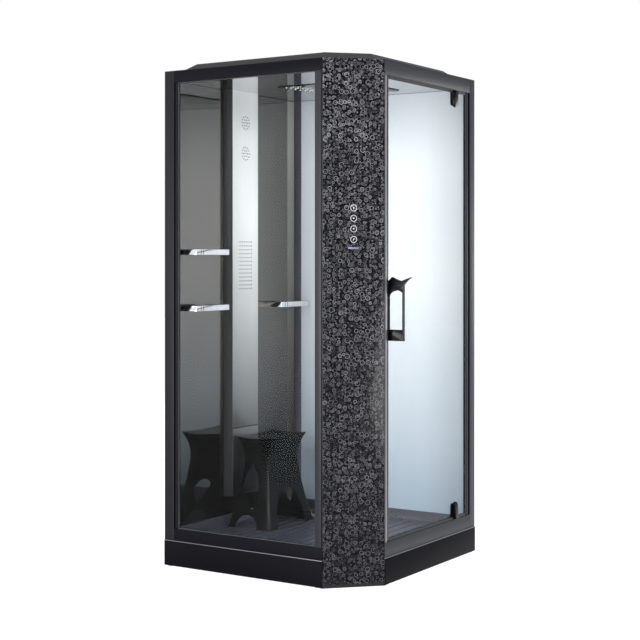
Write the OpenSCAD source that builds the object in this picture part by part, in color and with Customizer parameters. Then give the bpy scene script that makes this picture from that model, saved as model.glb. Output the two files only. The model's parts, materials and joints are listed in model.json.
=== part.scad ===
// Corner shower cabin: square plan, chamfered control column and outward pivot door
// Origin at the centre of the footprint on the floor, +Z up, fixed glass on the -Y side,
// door on the +X side, shower column on the -X side

/* [Overall] */
// Width of the frame along X
cabin_w = 1000; // [920:1:1150]
// Depth of the frame along Y
cabin_d = 1000; // [960:1:1150]
// Height of the frame above the floor
frame_top = 2150; // [2080:1:2300]
// Leg of the cut-off corner, along each side
chamfer_leg = 185; // [170:1:200]

/* [Base] */
// Top of the base frame, under the rails
base_top = 110; // [95:1:140]
// Underside of the base frame
base_underside = 55; // [48:1:70]
// Width of the base frame's beams
beam_w = 45; // [42:1:60]
// Wall of the base frame's tubes
beam_wall = 3; // [2:0.5:5]
// Radius of a levelling foot's pad
foot_r = 24; // [18:1:30]
// Thickness of a levelling foot's pad
foot_t = 12; // [8:1:20]
// Radius of a levelling foot's stud
stud_r = 6; // [4:0.5:8]
// Height of the lock nut on a foot
foot_nut_h = 8; // [5:1:12]
// Length of a foot's stud inside the base frame
stud_in = 20; // [10:1:28]
// Inset of the feet from the outside of the frame
foot_inset = 26; // [24:1:28]
// Thickness of the skirt panels
skirt_t = 3; // [2:0.5:6]
// Gap between the skirt and the floor
skirt_gap = 3; // [2:0.5:10]
// Thickness of the bright trim strips
trim_t = 3; // [2:0.5:5]
// How far the trim stands proud of the frame
trim_proud = 3.5; // [2.5:0.5:6]

/* [Tray] */
// Thickness of the tray floor
tray_floor = 10; // [8:0.5:16]
// Thickness of the tray upstand
tray_wall = 10; // [6:0.5:14]
// Height of the tray upstand above the base frame
tray_h = 53; // [45:1:54]
// Width of a groove in the tray floor
groove_w = 10; // [6:0.5:16]
// Depth of a groove in the tray floor
groove_depth = 3; // [1:0.5:5]
// Pitch of the grooves
groove_pitch = 52.5; // [40:0.5:80]
// Radius of the drain hole
drain_r = 26; // [20:1:35]
// Radius of the drain cover
drain_cover_r = 45; // [40:1:60]
// Thickness of the drain cover
drain_cover_t = 4; // [3:0.5:6]
// Distance of the drain from the column wall's outside
drain_from_side = 200; // [150:1:260]
// Distance of the drain from the back wall's outside
drain_from_back = 170; // [120:1:220]
// Radius of the waste trap
trap_r = 40; // [36:1:46]
// Gap between the waste trap and the floor
trap_gap = 8; // [4:1:14]
// Radius of the waste outlet pipe
waste_r = 20; // [16:1:22]
// Wall of the waste trap and its pipe
waste_wall = 2.5; // [1.5:0.5:4]

/* [Frame] */
// Depth of every profile, square to its side
profile_d = 36; // [34:1:44]
// Wall of the hollow profiles
profile_wall = 3; // [2:0.5:4]
// Visible width of the left post
post_left_w = 51; // [40:1:70]
// Visible width of the right post
post_right_w = 47; // [40:1:70]
// Height of the top rails over the glass and the walls
top_rail_h = 50; // [42:1:60]
// Height of the top rail over the door
door_rail_h = 61; // [55:1:75]
// Height of the bottom rail under the fixed glass
bottom_rail_h = 52; // [48:1:60]
// Height of the door sill
sill_h = 62; // [58:1:75]
// Height of the solid part of a rail that takes a slot or a bush
rail_web = 15; // [14:1:20]
// Width of the channel that holds the glass at the left post
channel_w = 17; // [15:1:24]
// Width of the profile between the fixed glass and the control column
jamb_w = 36; // [30:1:44]
// Width of the profile between the control column and the door
latch_jamb_w = 18; // [14:1:24]
// Width of the profile between the door and the right post
pivot_jamb_w = 27.4; // [26:0.1:60]
// Depth of the pivot-side profile behind the door's edge
pivot_jamb_d = 18; // [17:1:34]
// Width of the grey face on the pivot-side profile
pivot_face_w = 10; // [8:0.1:24]
// Depth of the pivot-side profile beside its grey face
pivot_recess = 12; // [8:1:16]
// Setback of the pivot-side profile from the outside
pivot_jamb_setback = 2; // [0:0.5:4]
// Width and depth of the shadow grooves along the profiles
shadow_groove = 5; // [3:0.5:6]

/* [Glass] */
// Thickness of the fixed glass
glass_t = 6; // [5:0.5:8]
// Depth to which glass edges sit in their slots
glass_bite = 10; // [8:0.5:11]
// Thickness of the rubber on each side of the glass
gasket_t = 2; // [1.5:0.5:3]
// Distance from the outside of the frame to the fixed glass
glass_setback = 11; // [8:0.5:14]
// Lip of the gasket beyond the profile
gasket_lip = 1.5; // [1:0.5:3]
// Width of the left channel's lips beside the gasket
channel_lip = 5; // [4:0.5:6]
// Thickness of the dark and light wall glass
wall_t = 6; // [4:0.5:8]
// Height by which wall glass sits in the rails
wall_bite = 8; // [5:0.5:10]
// Width of the strip in the rear corner
corner_trim_w = 40; // [20:1:45]
// Thickness of the strip in the rear corner
corner_trim_t = 6; // [4:0.5:9]

/* [Door] */
// Thickness of the door glass
door_t = 8; // [8:0.5:10]
// Distance from the outside of the frame to the door glass
door_setback = 5; // [4:0.5:8]
// Gap above and below the door glass
door_gap = 4; // [3:0.5:6]
// Running gap at the upright edges of the door
edge_gap = 0.4; // [0.3:0.1:1]
// Running gap at the tail edge of the door
tail_gap = 0.6; // [0.4:0.1:1]
// Visible width of the seal on the latch edge
latch_seal_w = 14; // [10:0.5:18]
// Visible width of the seal on the tail edge
tail_seal_w = 12; // [8:0.5:24]
// Depth to which the seals cover the glass edge
seal_cover = 3; // [2:0.5:5]
// Thickness of the upright seals
seal_t = 12; // [10:0.5:14]
// Height of the seals on the lower and upper edge of the glass
drip_seal_h = 8; // [6:0.5:12]
// Distance of the pivot axis from the tail edge of the door glass
pivot_inset = 105; // [90:1:130]

/* [Pivot fittings] */
// Width of a hinge clamp
clamp_w = 27; // [22:1:34]
// Height of the outer hinge clamps
clamp_h = 74; // [60:1:90]
// Thickness of the outer hinge clamps
clamp_t = 17; // [10:1:20]
// Thickness of the inner hinge clamps
clamp_inner_t = 8; // [6:1:12]
// Height of the inner hinge clamps
clamp_inner_h = 66; // [50:1:85]
// Height of the notch in the glass
notch_h = 26; // [22:1:34]
// Width of the notch in the glass
notch_w = 23; // [21:0.5:24]
// Glue gap between the notch and the clamp
notch_gap = 0.5; // [0.2:0.1:1]
// Radius of the pivot pins, within the thickness of the glass
pin_r = 3.5; // [2:0.5:3.5]
// Depth to which a pin enters its rail
pin_depth = 10; // [8:0.5:12]
// Depth to which a pin enters its clamp
pin_hold = 22; // [16:1:22]
// Gap between a pin's end and the bottom of its bush
pin_end_gap = 0.5; // [0.2:0.1:1]
// Radial clearance between pin and bush
pin_clearance = 0.05; // [0.02:0.01:0.1]
// Radius of the bush in the rail
bush_r = 8; // [7:0.5:9]
// Radius of the bush flange
bush_flange_r = 11; // [10:0.5:12]
// Floor of the bush
bush_floor = 2; // [1:0.5:3]

/* [Handle] */
// Height of the handle's lower end above the floor
handle_z = 998; // [900:1:1100]
// Overall height of the handle
handle_h = 262; // [220:1:300]
// Thickness of the handle along Y
handle_t = 10; // [9:1:28]
// Distance of the handle from the latch edge of the glass
handle_inset = 3; // [2:0.5:20]
// Distance from the glass to the outer side of the grip
handle_out = 73; // [65:1:95]
// Thickness of the grip
grip_t = 7; // [6:1:20]
// Height of the handle's lower leg
lower_leg_h = 46; // [34:1:60]
// Depth of the solid head above the finger gap
head_h = 55; // [45:1:70]
// How far the outer horn stands beyond the grip
horn_out = 34; // [15:1:45]
// Height of the slanted part under the outer horn
horn_h = 31; // [20:1:34]
// How far the underside of the outer horn bows upwards
horn_bow = 4; // [0:1:5]
// Thickness of the outer horn at its tip
horn_tip = 3; // [2:0.5:8]
// Depth of the hollow between the two horns
horn_dip = 17; // [8:1:24]
// Distance of the hollow's lowest point from the glass
dip_out = 59; // [45:1:70]
// Distance of the inner horn from the glass
inner_horn_out = 18; // [8:1:30]
// How far the head's back edge lies below the inner horn
back_drop = 17; // [8:1:26]
// Thickness of the handle's back on the glass
back_t = 4; // [3:0.5:8]
// Height of the curve at the top of the finger gap
gap_curve = 27; // [15:1:35]
// Projection of the inner handle
inner_handle_out = 55; // [40:1:62]
// Bevel of the inner handle's upper corner
inner_bevel = 12; // [4:1:20]
// Radius of the handle bolts
bolt_r = 3; // [2.5:0.5:4]
// Radial clearance around the handle bolts in the glass
bolt_clearance = 1; // [0.5:0.5:2]
// Depth of the handle bolts in the handles
bolt_depth = 13; // [8:1:16]

/* [Shower column] */
// Width of the column's bright face
column_w = 197; // [170:1:210]
// Width of the column where it meets the wall
column_base_w = 236; // [225:1:260]
// Projection of the column from the wall
column_out = 38; // [30:1:50]
// Thickness of the bright plates
plate_t = 3; // [2:0.5:4]
// Wall of the column body
column_wall = 2.5; // [2:0.5:4]
// Height of the column's lower end above the floor
column_z = 250; // [200:1:320]
// Height of the joint between the two bright plates
plate_split_z = 559; // [500:1:620]
// Width of the joint between the two bright plates
plate_gap = 4; // [2:0.5:8]
// Thickness of the cover on the back of the column
back_cover_t = 2; // [1.5:0.5:3]
// Clearance around each water inlet in the back cover
inlet_gap = 3; // [1:0.5:5]

/* [Nozzles] */
// Nozzles across the massage field
field_columns = 6; // [4:1:8]
// Nozzles up the massage field
field_rows = 13; // [8:1:16]
// Pitch of the massage nozzles
field_pitch = 18; // [14:0.5:20]
// Height of the lowest massage nozzles
field_z = 1197; // [1100:1:1300]
// Radius of a nozzle
nozzle_r = 3.5; // [2.5:0.5:5]
// Projection of a nozzle
nozzle_out = 2; // [1:0.5:4]
// Heights of the two round jet groups
jet_heights = [1821, 1963];
// Radius of the outer ring of a jet group
jet_ring_r = 29; // [20:1:40]
// Width of the square rain head
rain_w = 400; // [300:1:440]
// Thickness of the rain head
rain_t = 4; // [3:0.5:10]
// Distance of the rain head's centre from the cabin's centre along Y
rain_y = 128; // [60:1:160]
// Nozzles along each side of the rain head
rain_count = 10; // [6:1:12]
// Distance of the outermost nozzles from the rain head's edge
rain_edge = 30; // [15:1:50]
// Depth of the water chambers behind the nozzles
chamber_d = 16; // [10:1:20]
// Margin of the water chambers around their nozzles
chamber_margin = 8; // [6:1:12]

/* [Water parts] */
// Height of the mixing valve
valve_z = 650; // [600:1:720]
// Radius of the mixing valve body
valve_r = 16; // [13:0.5:16]
// Distance between the hot and cold inlets
inlet_spacing = 150; // [120:1:170]
// Radius of the inlet threads
inlet_r = 10.48; // [8:0.01:13]
// Length of the inlets behind the cabin
inlet_len = 24; // [18:1:40]
// Height of the valve manifold above the floor
manifold_z = 800; // [760:1:900]
// Width of the valve manifold
manifold_w = 130; // [125:1:160]
// Depth of the valve manifold
manifold_d = 36; // [30:1:44]
// Height of the block of the valve manifold
manifold_h = 40; // [30:1:60]
// Distance between the solenoid valves
solenoid_pitch = 30; // [26:0.5:32]
// Radius of a solenoid valve
solenoid_r = 11; // [8:0.5:12]
// Height of a solenoid valve below its coil
solenoid_h = 46; // [30:1:60]
// Width of a solenoid coil
coil_w = 18; // [14:1:22]
// Height of a solenoid coil
coil_h = 14; // [10:1:24]
// Radius of the water pipes
pipe_r = 7; // [5:0.5:8]
// Clearance around the water pipes in the ceiling
pipe_gap = 0.3; // [0.2:0.1:1]
// Distance of the cable gland below the frame's top
gland_drop = 110; // [80:1:180]
// Radius of the hole through the cable gland
gland_bore_r = 4.5; // [3:0.5:6]
// Wall of the cable gland
gland_wall = 4; // [2.5:0.5:6]
// Length of the cable gland on each side of the back cover
gland_len = 14; // [8:1:20]

/* [Shelves] */
// Length of a shelf
shelf_len = 240; // [200:1:260]
// Depth of a shelf
shelf_d = 96; // [80:1:120]
// Height of the chrome rail
shelf_rail_h = 24; // [16:1:30]
// Thickness of the chrome rail
shelf_rail_t = 3; // [2:0.5:5]
// Thickness of the shelf glass
shelf_glass_t = 6; // [5:0.5:8]
// Width and thickness of the ledge that carries the shelf glass
shelf_ledge = [4, 2];
// Distance of the shelves from the column's middle
shelf_y = 206; // [150:1:215]
// Underside of the high shelf's rail
shelf_high_z = 1352; // [1300:1:1450]
// Underside of the low shelves' rails
shelf_low_z = 1106; // [1050:1:1200]

/* [Roof and ceiling] */
// Thickness of the roof plate
roof_t = 2; // [1.5:0.5:4]
// Height of the roof cover above the frame
cover_h = 27.5; // [20:0.5:40]
// Wall of the roof cover
cover_wall = 3; // [2:0.5:5]
// Width of the roof cover's slopes
cover_slope = 38; // [30:1:60]
// Distance of the roof cover from the column wall's outside
cover_left = 100; // [20:1:160]
// Distance of the roof cover from the fixed glass side's outside
cover_front = 12; // [6:1:60]
// Distance of the roof cover from the door side's outside
cover_right = 30; // [6:1:60]
// Distance of the roof cover from the back wall's outside
cover_back = 145; // [20:1:200]
// Distance of the roof cover from the patterned panel
cover_chamfer = 6; // [2:1:40]
// Thickness of the ceiling panel
ceiling_t = 4; // [3:0.5:8]
// Height of the space between the ceiling and the roof plate
ceiling_space = 37; // [32:1:38]

/* [Control column] */
// Thickness of the patterned panel
panel_t = 6; // [4:0.5:8]
// Gap between the panel and the floor
panel_floor_gap = 14; // [8:1:30]
// Gap between the panel's upright edges and the corners
panel_side_gap = 1; // [0.5:0.5:3]
// Depth of the control column, square to its face
control_depth = 50; // [46:1:52]
// Wall of the control column
control_wall = 2.5; // [2:0.5:4]
// Outer radius of a touch ring
ring_r = 13.5; // [10:0.5:16]
// Line width of a touch ring
ring_line = 2.5; // [1.5:0.5:4]
// Radius of the dot inside a touch ring
dot_r = 3.5; // [2:0.5:6]
// Thickness of the printed marks
mark_t = 0.4; // [0.3:0.1:1]
// Width of the circuit board behind the touch rings
board_w = 90; // [60:1:120]
// Height of the circuit board beyond the marks at each end
board_margin = 38; // [20:1:60]
// Thickness of the circuit board
board_t = 3; // [1.5:0.5:5]
// Width and height of the supply box on the board
supply_size = [60, 40];
// Depth of the supply box on the board
supply_d = 15; // [8:1:24]
// Heights of the touch rings
ring_heights = [1413, 1456, 1499, 1541];
// Height of the display bar
display_z = 1378; // [1340:1:1390]
// Width of the display bar
display_w = 48; // [30:1:70]
// Height of the bar on the display
display_h = 6; // [4:0.5:10]

/* [Stool] */
// Height of the stool above the tray
stool_h = 410; // [380:1:450]
// Width of the stool's seat along X
seat_w = 190; // [160:1:200]
// Width of the stool's seat along Y
seat_d = 304; // [260:1:320]
// Width of the stool across its feet along X
foot_w = 234; // [215:1:236]
// Width of the stool across its feet along Y
foot_d = 356; // [320:1:380]
// How far the waist is drawn in from the seat on each side
waist_in = 30; // [8:1:34]
// Height of the waist above the tray
waist_h = 300; // [260:1:330]
// Wall of the stool
stool_wall = 5; // [4:0.5:7]
// Depth of the dish in the seat
seat_dish = 7; // [4:1:20]
// Width of the lens-shaped windows
lens_w = 100; // [80:1:112]
// Height of the lens-shaped windows
lens_h = 232; // [180:1:236]
// Height of the windows' lower tips above the tray
lens_z = 76; // [70:1:84]
// How far the windows' upper tips lean towards the column
lens_lean = 40; // [0:1:48]
// Least width of the leg beside a window
lens_rim = 6; // [4:0.5:10]
// Distance of the windows from the stool's middle, towards the column
window_shift = 20; // [0:1:26]
// Width of the door-side arch at the floor
arch_w = 226; // [160:1:240]
// Width of the column-side arch at the floor
back_arch_w = 296; // [160:1:300]
// Height of the arch on the door side
arch_h = 170; // [140:1:190]
// Height of the arch on the column side
back_arch_h = 300; // [180:1:320]
// Width of the arch under the window that faces the fixed glass
low_arch_w = 120; // [60:1:130]
// Height of the arches under the windows
low_arch_h = 58; // [20:1:62]
// Distance of the stool's middle from the cabin's centre along Y
stool_y = 38; // [20:1:60]
// Gap between the stool's feet and the plane of the column's face
stool_gap = 2; // [1:0.5:20]

/* [Hidden] */

$fn = 48;
eps = 0.01;
press_gap = 0.02;
glue_gap = 0.1;
inlet_free = 2;
neck_step = 1;

// Plan of the frame
hx = cabin_w/2;
hy = cabin_d/2;
rx = hx - profile_d;
ry = hy - profile_d;
chamfer_x = hx - chamfer_leg;
chamfer_y = hy - chamfer_leg;
// The chamfer lies on x - y = chamfer_line, and a line d further in on
// x - y = chamfer_line - d*sqrt(2)
chamfer_line = chamfer_x + hy;
panel_line = chamfer_line - panel_t*sqrt(2);
room_line = chamfer_line - control_depth*sqrt(2);
panel_half = chamfer_leg/sqrt(2) - panel_side_gap;

// Levels
rail_z = base_top + trim_t;
bottom_rail_top = rail_z + bottom_rail_h;
sill_top = rail_z + sill_h;
rail_top = frame_top - roof_t;
top_rail_z = rail_top - top_rail_h;
door_rail_z = rail_top - door_rail_h;
ceiling_z = rail_top - ceiling_space - ceiling_t;
floor_z = base_top + tray_floor;
tray_top = base_top + tray_h;

// Fixed glass
glass_y = -hy + glass_setback;
slot_y = glass_y - gasket_t;
slot_w = glass_t + 2*gasket_t;
left_edge = -hx + post_left_w;
glass_left = left_edge + channel_w;
jamb_left = chamfer_x - jamb_w;
web_left = glass_left - glass_bite;
web_right = jamb_left + glass_bite;

// Door
door_x1 = hx - door_setback;
door_x0 = door_x1 - door_t;
door_xc = (door_x0 + door_x1)/2;
latch_y = -chamfer_y + latch_jamb_w;
seal_y = latch_y + edge_gap;
glass_y0 = seal_y + latch_seal_w;
jamb_y = hy - post_right_w - pivot_jamb_w;
tail_y = jamb_y - tail_gap;
glass_y1 = tail_y - tail_seal_w;
pivot_y = glass_y1 - pivot_inset;
door_z0 = sill_top + door_gap;
door_z1 = door_rail_z - door_gap;
handle_y = glass_y0 + handle_inset;
horn_steps = 8;
bolt_y = handle_y + handle_t/2;
lower_bolt_z = handle_z + lower_leg_h/2;
upper_bolt_z = handle_z + handle_h - head_h + (head_h - horn_dip)/2;

// Column
column_face = -rx + column_out;
plate_x = column_face - plate_t;
plate_side = column_w/2;
base_side = column_base_w/2;
manifold_x = -hx + back_cover_t + manifold_d/2;
gland_z = frame_top - gland_drop;
chamber_front = plate_x - column_wall;
field_top = field_z + (field_rows - 1)*field_pitch;
field_half = (field_columns - 1)*field_pitch/2;
solenoid_ys = [for (i = [0:3]) (i - 1.5)*solenoid_pitch];
riser_x = (-rx + chamber_front)/2;
ceiling_pipe_z = ceiling_z + ceiling_t + ceiling_space/2;
rain_z = ceiling_z - rain_t;
rain_pitch = (rain_w - 2*rain_edge)/(rain_count - 1);

// Shelves
shelf_seat = (shelf_rail_h - shelf_glass_t)/2;

// Drain
drain_x = -hx + drain_from_side;
drain_y = hy - drain_from_back;
waste_z = trap_gap + waste_r + 2;
hose_len = drain_from_back - trap_r - 10;

// Stool
stool_x = column_face + stool_gap + foot_w/2;
stool_steps = 8;

// Colours
dark = [0.13, 0.13, 0.16];
grey = [0.36, 0.37, 0.41];
black = [0.05, 0.05, 0.06];
steel = [0.78, 0.79, 0.8];
brass = [0.72, 0.6, 0.32];

// Box from one corner to the opposite one
module box(lo, hi) {
    translate(lo) cube(hi - lo);
}

// Places its children on the control column's face: X along the face, Y inwards
module on_chamfer() {
    translate([(chamfer_x + hx)/2, -(chamfer_y + hy)/2, 0]) rotate([0, 0, 45]) children();
}

// Outline of the frame, moved in by inset
function frame_outline(inset) = let(line = panel_line - inset*sqrt(2)) [
    [-hx + inset, -hy + inset], [line - hy + inset, -hy + inset],
    [hx - inset, hx - inset - line], [hx - inset, hy - inset], [-hx + inset, hy - inset]];

// Outline of the room between the profiles, moved in by inset
function room_outline(inset) = let(line = room_line - inset*sqrt(2)) [
    [-rx + inset, -ry + inset], [line - ry + inset, -ry + inset],
    [line + latch_y + inset, latch_y + inset], [rx - inset, latch_y + inset],
    [rx - inset, ry - inset], [-rx + inset, ry - inset]];

// Outline of the control column behind its panel, moved in by inset
function control_outline(inset) =
    let(outer = panel_line - inset*sqrt(2), inner = room_line + inset*sqrt(2)) [
    [chamfer_x + inset, chamfer_x + inset - outer], [outer - chamfer_y - inset, -chamfer_y - inset],
    [rx - inset, -chamfer_y - inset], [rx - inset, latch_y - inset],
    [inner + latch_y - inset, latch_y - inset], [inner - ry + inset, -ry + inset],
    [chamfer_x + inset, -ry + inset]];

// Hollow rail along X, open at its ends, with a solid web at the given side
module rail_x(x0, x1, y0, z0, z1, web_up) {
    low = web_up ? z0 + profile_wall : z0 + rail_web;
    high = web_up ? z1 - rail_web : z1 - profile_wall;
    difference() {
        box([x0, y0, z0], [x1, y0 + profile_d, z1]);
        box([x0 - 1, y0 + profile_wall, low], [x1 + 1, y0 + profile_d - profile_wall, high]);
    }
}

// The same rail along Y
module rail_y(y0, y1, x0, z0, z1, web_up) {
    low = web_up ? z0 + profile_wall : z0 + rail_web;
    high = web_up ? z1 - rail_web : z1 - profile_wall;
    difference() {
        box([x0, y0, z0], [x0 + profile_d, y1, z1]);
        box([x0 + profile_wall, y0 - 1, low], [x0 + profile_d - profile_wall, y1 + 1, high]);
    }
}

// Hollow post, open at its ends
module post(lo, hi) {
    wall = [profile_wall, profile_wall, -1];
    difference() {
        box(lo, hi);
        box(lo + wall, hi - wall);
    }
}

// Slot that takes the fixed glass and its gasket
module glass_slot() {
    box([web_left - gasket_t, slot_y, bottom_rail_top - glass_bite],
        [web_right + gasket_t, slot_y + slot_w, top_rail_z + glass_bite]);
}

// Base

// Ring along the frame's outline between two insets, from z0 up to z1
module base_ring(outer, inner, z0, z1) difference() {
    translate([0, 0, z0]) linear_extrude(z1 - z0) polygon(frame_outline(outer));
    translate([0, 0, z0 - 1]) linear_extrude(z1 - z0 + 2) polygon(frame_outline(inner));
}

// Ring of tubes and the cross of tubes inside it, shrunk on every side by inset
module base_tubes(inset) {
    low = base_underside + inset;
    high = base_top - inset;
    base_ring(inset, beam_w - inset, low, high);
    for (half = [[hx - beam_w/2, beam_w/2 - inset], [beam_w/2 - inset, hy - beam_w/2]])
        box([-half[0], -half[1], low], [half[0], half[1], high]);
}

module support_frame() color(grey) difference() {
    base_tubes(0);
    base_tubes(beam_wall);
    at_feet() translate([0, 0, base_underside - 1]) cylinder(r = stud_r + press_gap, h = beam_wall + 2);
}

// Places a foot under each corner of the frame and one under its middle
module at_feet() {
    side = hx - foot_inset;
    back = hy - foot_inset;
    near = chamfer_leg + foot_inset;
    for (p = [[-side, -back], [-side, back], [side, back], [hx - near, -back], [side, -hy + near],
              [0, 0]])
        translate([p[0], p[1], 0]) children();
}

module levelling_feet() color(black) at_feet() {
    cylinder(r = foot_r, h = foot_t);
    cylinder(r = stud_r, h = base_underside + stud_in);
    translate([0, 0, base_underside - foot_nut_h]) cylinder(r = stud_r*2, h = foot_nut_h, $fn = 6);
}

module tray() color(dark) {
    groove_count = floor((rx - tray_wall - groove_w)/groove_pitch);
    difference() {
        translate([0, 0, base_top]) linear_extrude(tray_h) polygon(room_outline(0));
        translate([0, 0, floor_z]) linear_extrude(tray_h) polygon(room_outline(tray_wall));
        intersection() {
            translate([0, 0, floor_z - groove_depth]) linear_extrude(tray_h)
                polygon(room_outline(tray_wall + groove_w));
            for (i = [-groove_count:groove_count])
                box([i*groove_pitch - groove_w/2, -hy, floor_z - groove_depth],
                    [i*groove_pitch + groove_w/2, hy, floor_z + 1]);
        }
        translate([drain_x, drain_y, base_top - 1]) cylinder(r = drain_r, h = tray_floor + 2);
    }
}

module drain_cover() color(steel) translate([drain_x, drain_y, 0]) {
    translate([0, 0, floor_z]) cylinder(r = drain_cover_r, h = drain_cover_t);
    translate([0, 0, base_top + 2]) cylinder(r = drain_r - 4, h = tray_floor - 2);
}

module waste_trap() color(grey) {
    difference() {
        union() {
            translate([drain_x, drain_y, trap_gap]) cylinder(r = trap_r, h = base_top - trap_gap);
            translate([drain_x, hy, waste_z]) rotate([90, 0, 0]) {
                cylinder(r = waste_r, h = hose_len);
                cylinder(r = waste_r - neck_step, h = hy - drain_y);
            }
        }
        translate([drain_x, drain_y, trap_gap + waste_wall]) cylinder(r = drain_r, h = base_top);
        translate([drain_x, drain_y, waste_z]) rotate([-90, 0, 0])
            cylinder(r = waste_r - waste_wall, h = hy - drain_y + 1);
    }
}

module skirt_front() color(dark) {
    box([-hx, -hy - skirt_t, skirt_gap], [chamfer_x, -hy, base_top]);
}

module skirt_door() color(dark) {
    box([hx, -chamfer_y, skirt_gap], [hx + skirt_t, hy, base_top]);
}

module trim_strips() color(steel) {
    box([-hx, -hy - trim_proud, base_top], [chamfer_x, -ry, rail_z]);
    box([rx, -chamfer_y, base_top], [hx + trim_proud, hy, rail_z]);
}

// Frame

module post_left() color(dark)
    post([-hx, -hy, rail_z], [left_edge, -ry, rail_top]);

module post_right() color(grey)
    post([rx, hy - post_right_w, rail_z], [hx, hy, rail_top]);

module post_rear() color(dark)
    post([-hx, ry, base_top], [-rx, hy, rail_top]);

module bottom_rail_front() color(dark) difference() {
    rail_x(left_edge, chamfer_x, -hy, rail_z, bottom_rail_top, true);
    glass_slot();
}

module bottom_rails_rear() color(dark) {
    difference() {
        rail_y(-ry, ry, -hx, base_top, bottom_rail_top, true);
        box([-rx - wall_t, -ry - 1, bottom_rail_top - wall_bite], [-rx + 1, ry + 1, bottom_rail_top + 1]);
    }
    difference() {
        rail_x(-rx, rx, ry, base_top, bottom_rail_top, true);
        box([-rx - 1, ry - 1, bottom_rail_top - wall_bite], [rx + 1, ry + wall_t, bottom_rail_top + 1]);
    }
}

module door_sill() color(grey) difference() {
    rail_y(-chamfer_y, hy - post_right_w, rx, rail_z, sill_top, true);
    translate([door_xc, pivot_y, sill_top - pin_depth - bush_floor])
        cylinder(r = bush_r + press_gap, h = pin_depth + bush_floor + 1);
}

module top_rail_front() color(dark) difference() {
    rail_x(left_edge, chamfer_x, -hy, top_rail_z, rail_top, false);
    glass_slot();
}

module top_rail_door() color(grey) difference() {
    rail_y(-chamfer_y, hy - post_right_w, rx, door_rail_z, rail_top, false);
    translate([door_xc, pivot_y, door_rail_z - 1])
        cylinder(r = bush_r + press_gap, h = pin_depth + bush_floor + 1);
}

module top_rails_rear() color(dark) {
    difference() {
        rail_y(-ry, ry, -hx, top_rail_z, rail_top, false);
        box([-rx - wall_t, -ry - 1, top_rail_z - 1], [-rx + 1, ry + 1, top_rail_z + wall_bite]);
    }
    difference() {
        rail_x(-rx, rx, ry, top_rail_z, rail_top, false);
        box([-rx - 1, ry - 1, top_rail_z - 1], [rx + 1, ry + wall_t, top_rail_z + wall_bite]);
    }
}

module glass_channel() color(dark) difference() {
    box([left_edge, slot_y - channel_lip, bottom_rail_top],
        [glass_left, slot_y + slot_w + channel_lip, top_rail_z]);
    glass_slot();
    box([left_edge - 1, -hy, bottom_rail_top - 1],
        [left_edge + shadow_groove, slot_y - channel_lip/2, top_rail_z + 1]);
}

module glass_jamb() color(grey) difference() {
    box([jamb_left, -hy, bottom_rail_top], [chamfer_x, -ry, top_rail_z]);
    glass_slot();
    box([chamfer_x - shadow_groove, -hy - 1, bottom_rail_top - 1],
        [chamfer_x + 1, -hy + shadow_groove, top_rail_z + 1]);
}

module latch_jamb() color(dark) difference() {
    box([rx, -chamfer_y, sill_top], [hx, latch_y, door_rail_z]);
    box([hx - shadow_groove, -chamfer_y - 1, sill_top - 1],
        [hx + 1, -chamfer_y + shadow_groove, door_rail_z + 1]);
}

module pivot_jamb() color(grey) difference() {
    face_x = hx - pivot_jamb_setback;
    box([face_x - pivot_jamb_d, jamb_y, sill_top], [face_x, hy - post_right_w, door_rail_z]);
    box([face_x - pivot_recess, jamb_y + pivot_face_w, sill_top - 1], [hx, hy, door_rail_z + 1]);
}

// Glass and walls

module fixed_glass() color([0.7, 0.8, 0.82, 0.3])
    box([web_left, glass_y, bottom_rail_top - glass_bite + gasket_t],
        [web_right, glass_y + glass_t, top_rail_z + glass_bite - gasket_t]);

module glass_gasket() color(black) difference() {
    glass_slot();
    box([glass_left + gasket_lip, slot_y - 1, bottom_rail_top + gasket_lip],
        [jamb_left - gasket_lip, slot_y + slot_w + 1, top_rail_z - gasket_lip]);
    fixed_glass();
}

module dark_wall_glass() color([0.22, 0.23, 0.22]) {
    low = bottom_rail_top - wall_bite;
    high = top_rail_z + wall_bite;
    box([-rx - wall_t, -ry, low], [-rx, -base_side, high]);
    box([-rx - wall_t, base_side, low], [-rx, ry, high]);
    box([-rx - wall_t, -base_side, low], [-rx, base_side, column_z]);
}

module light_wall_glass() color([0.8, 0.87, 0.9])
    box([-rx, ry, bottom_rail_top - wall_bite], [rx, ry + wall_t, top_rail_z + wall_bite]);

module corner_trim() color(dark)
    box([-rx, ry - corner_trim_t, tray_top], [-rx + corner_trim_w, ry, ceiling_z]);

// Shower column

// Outline of the column body, moved in by inset
function column_outline(inset) = [
    [-hx + back_cover_t, -base_side + inset], [-rx, -base_side + inset],
    [plate_x - inset, -plate_side + inset], [plate_x - inset, plate_side - inset],
    [-rx, base_side - inset], [-hx + back_cover_t, base_side - inset]];

module column_body() color(dark) difference() {
    union() {
        translate([0, 0, column_z]) linear_extrude(top_rail_z - column_z)
            polygon(column_outline(0));
        intersection() {
            translate([0, 0, top_rail_z - 1]) linear_extrude(ceiling_z - top_rail_z + 1)
                polygon(column_outline(0));
            box([-rx, -hy, 0], [0, hy, frame_top]);
        }
    }
    translate([0, 0, column_z + column_wall]) linear_extrude(frame_top)
        polygon(column_outline(column_wall));
    box([-hx, -base_side + column_wall, column_z + column_wall],
        [-rx, base_side - column_wall, top_rail_z + wall_bite + 1]);
}

module column_plate() color(steel)
    box([plate_x, -plate_side, plate_split_z + plate_gap/2], [column_face, plate_side, ceiling_z]);

module column_lower_plate() color(steel)
    box([plate_x, -plate_side, column_z], [column_face, plate_side, plate_split_z - plate_gap/2]);

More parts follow.
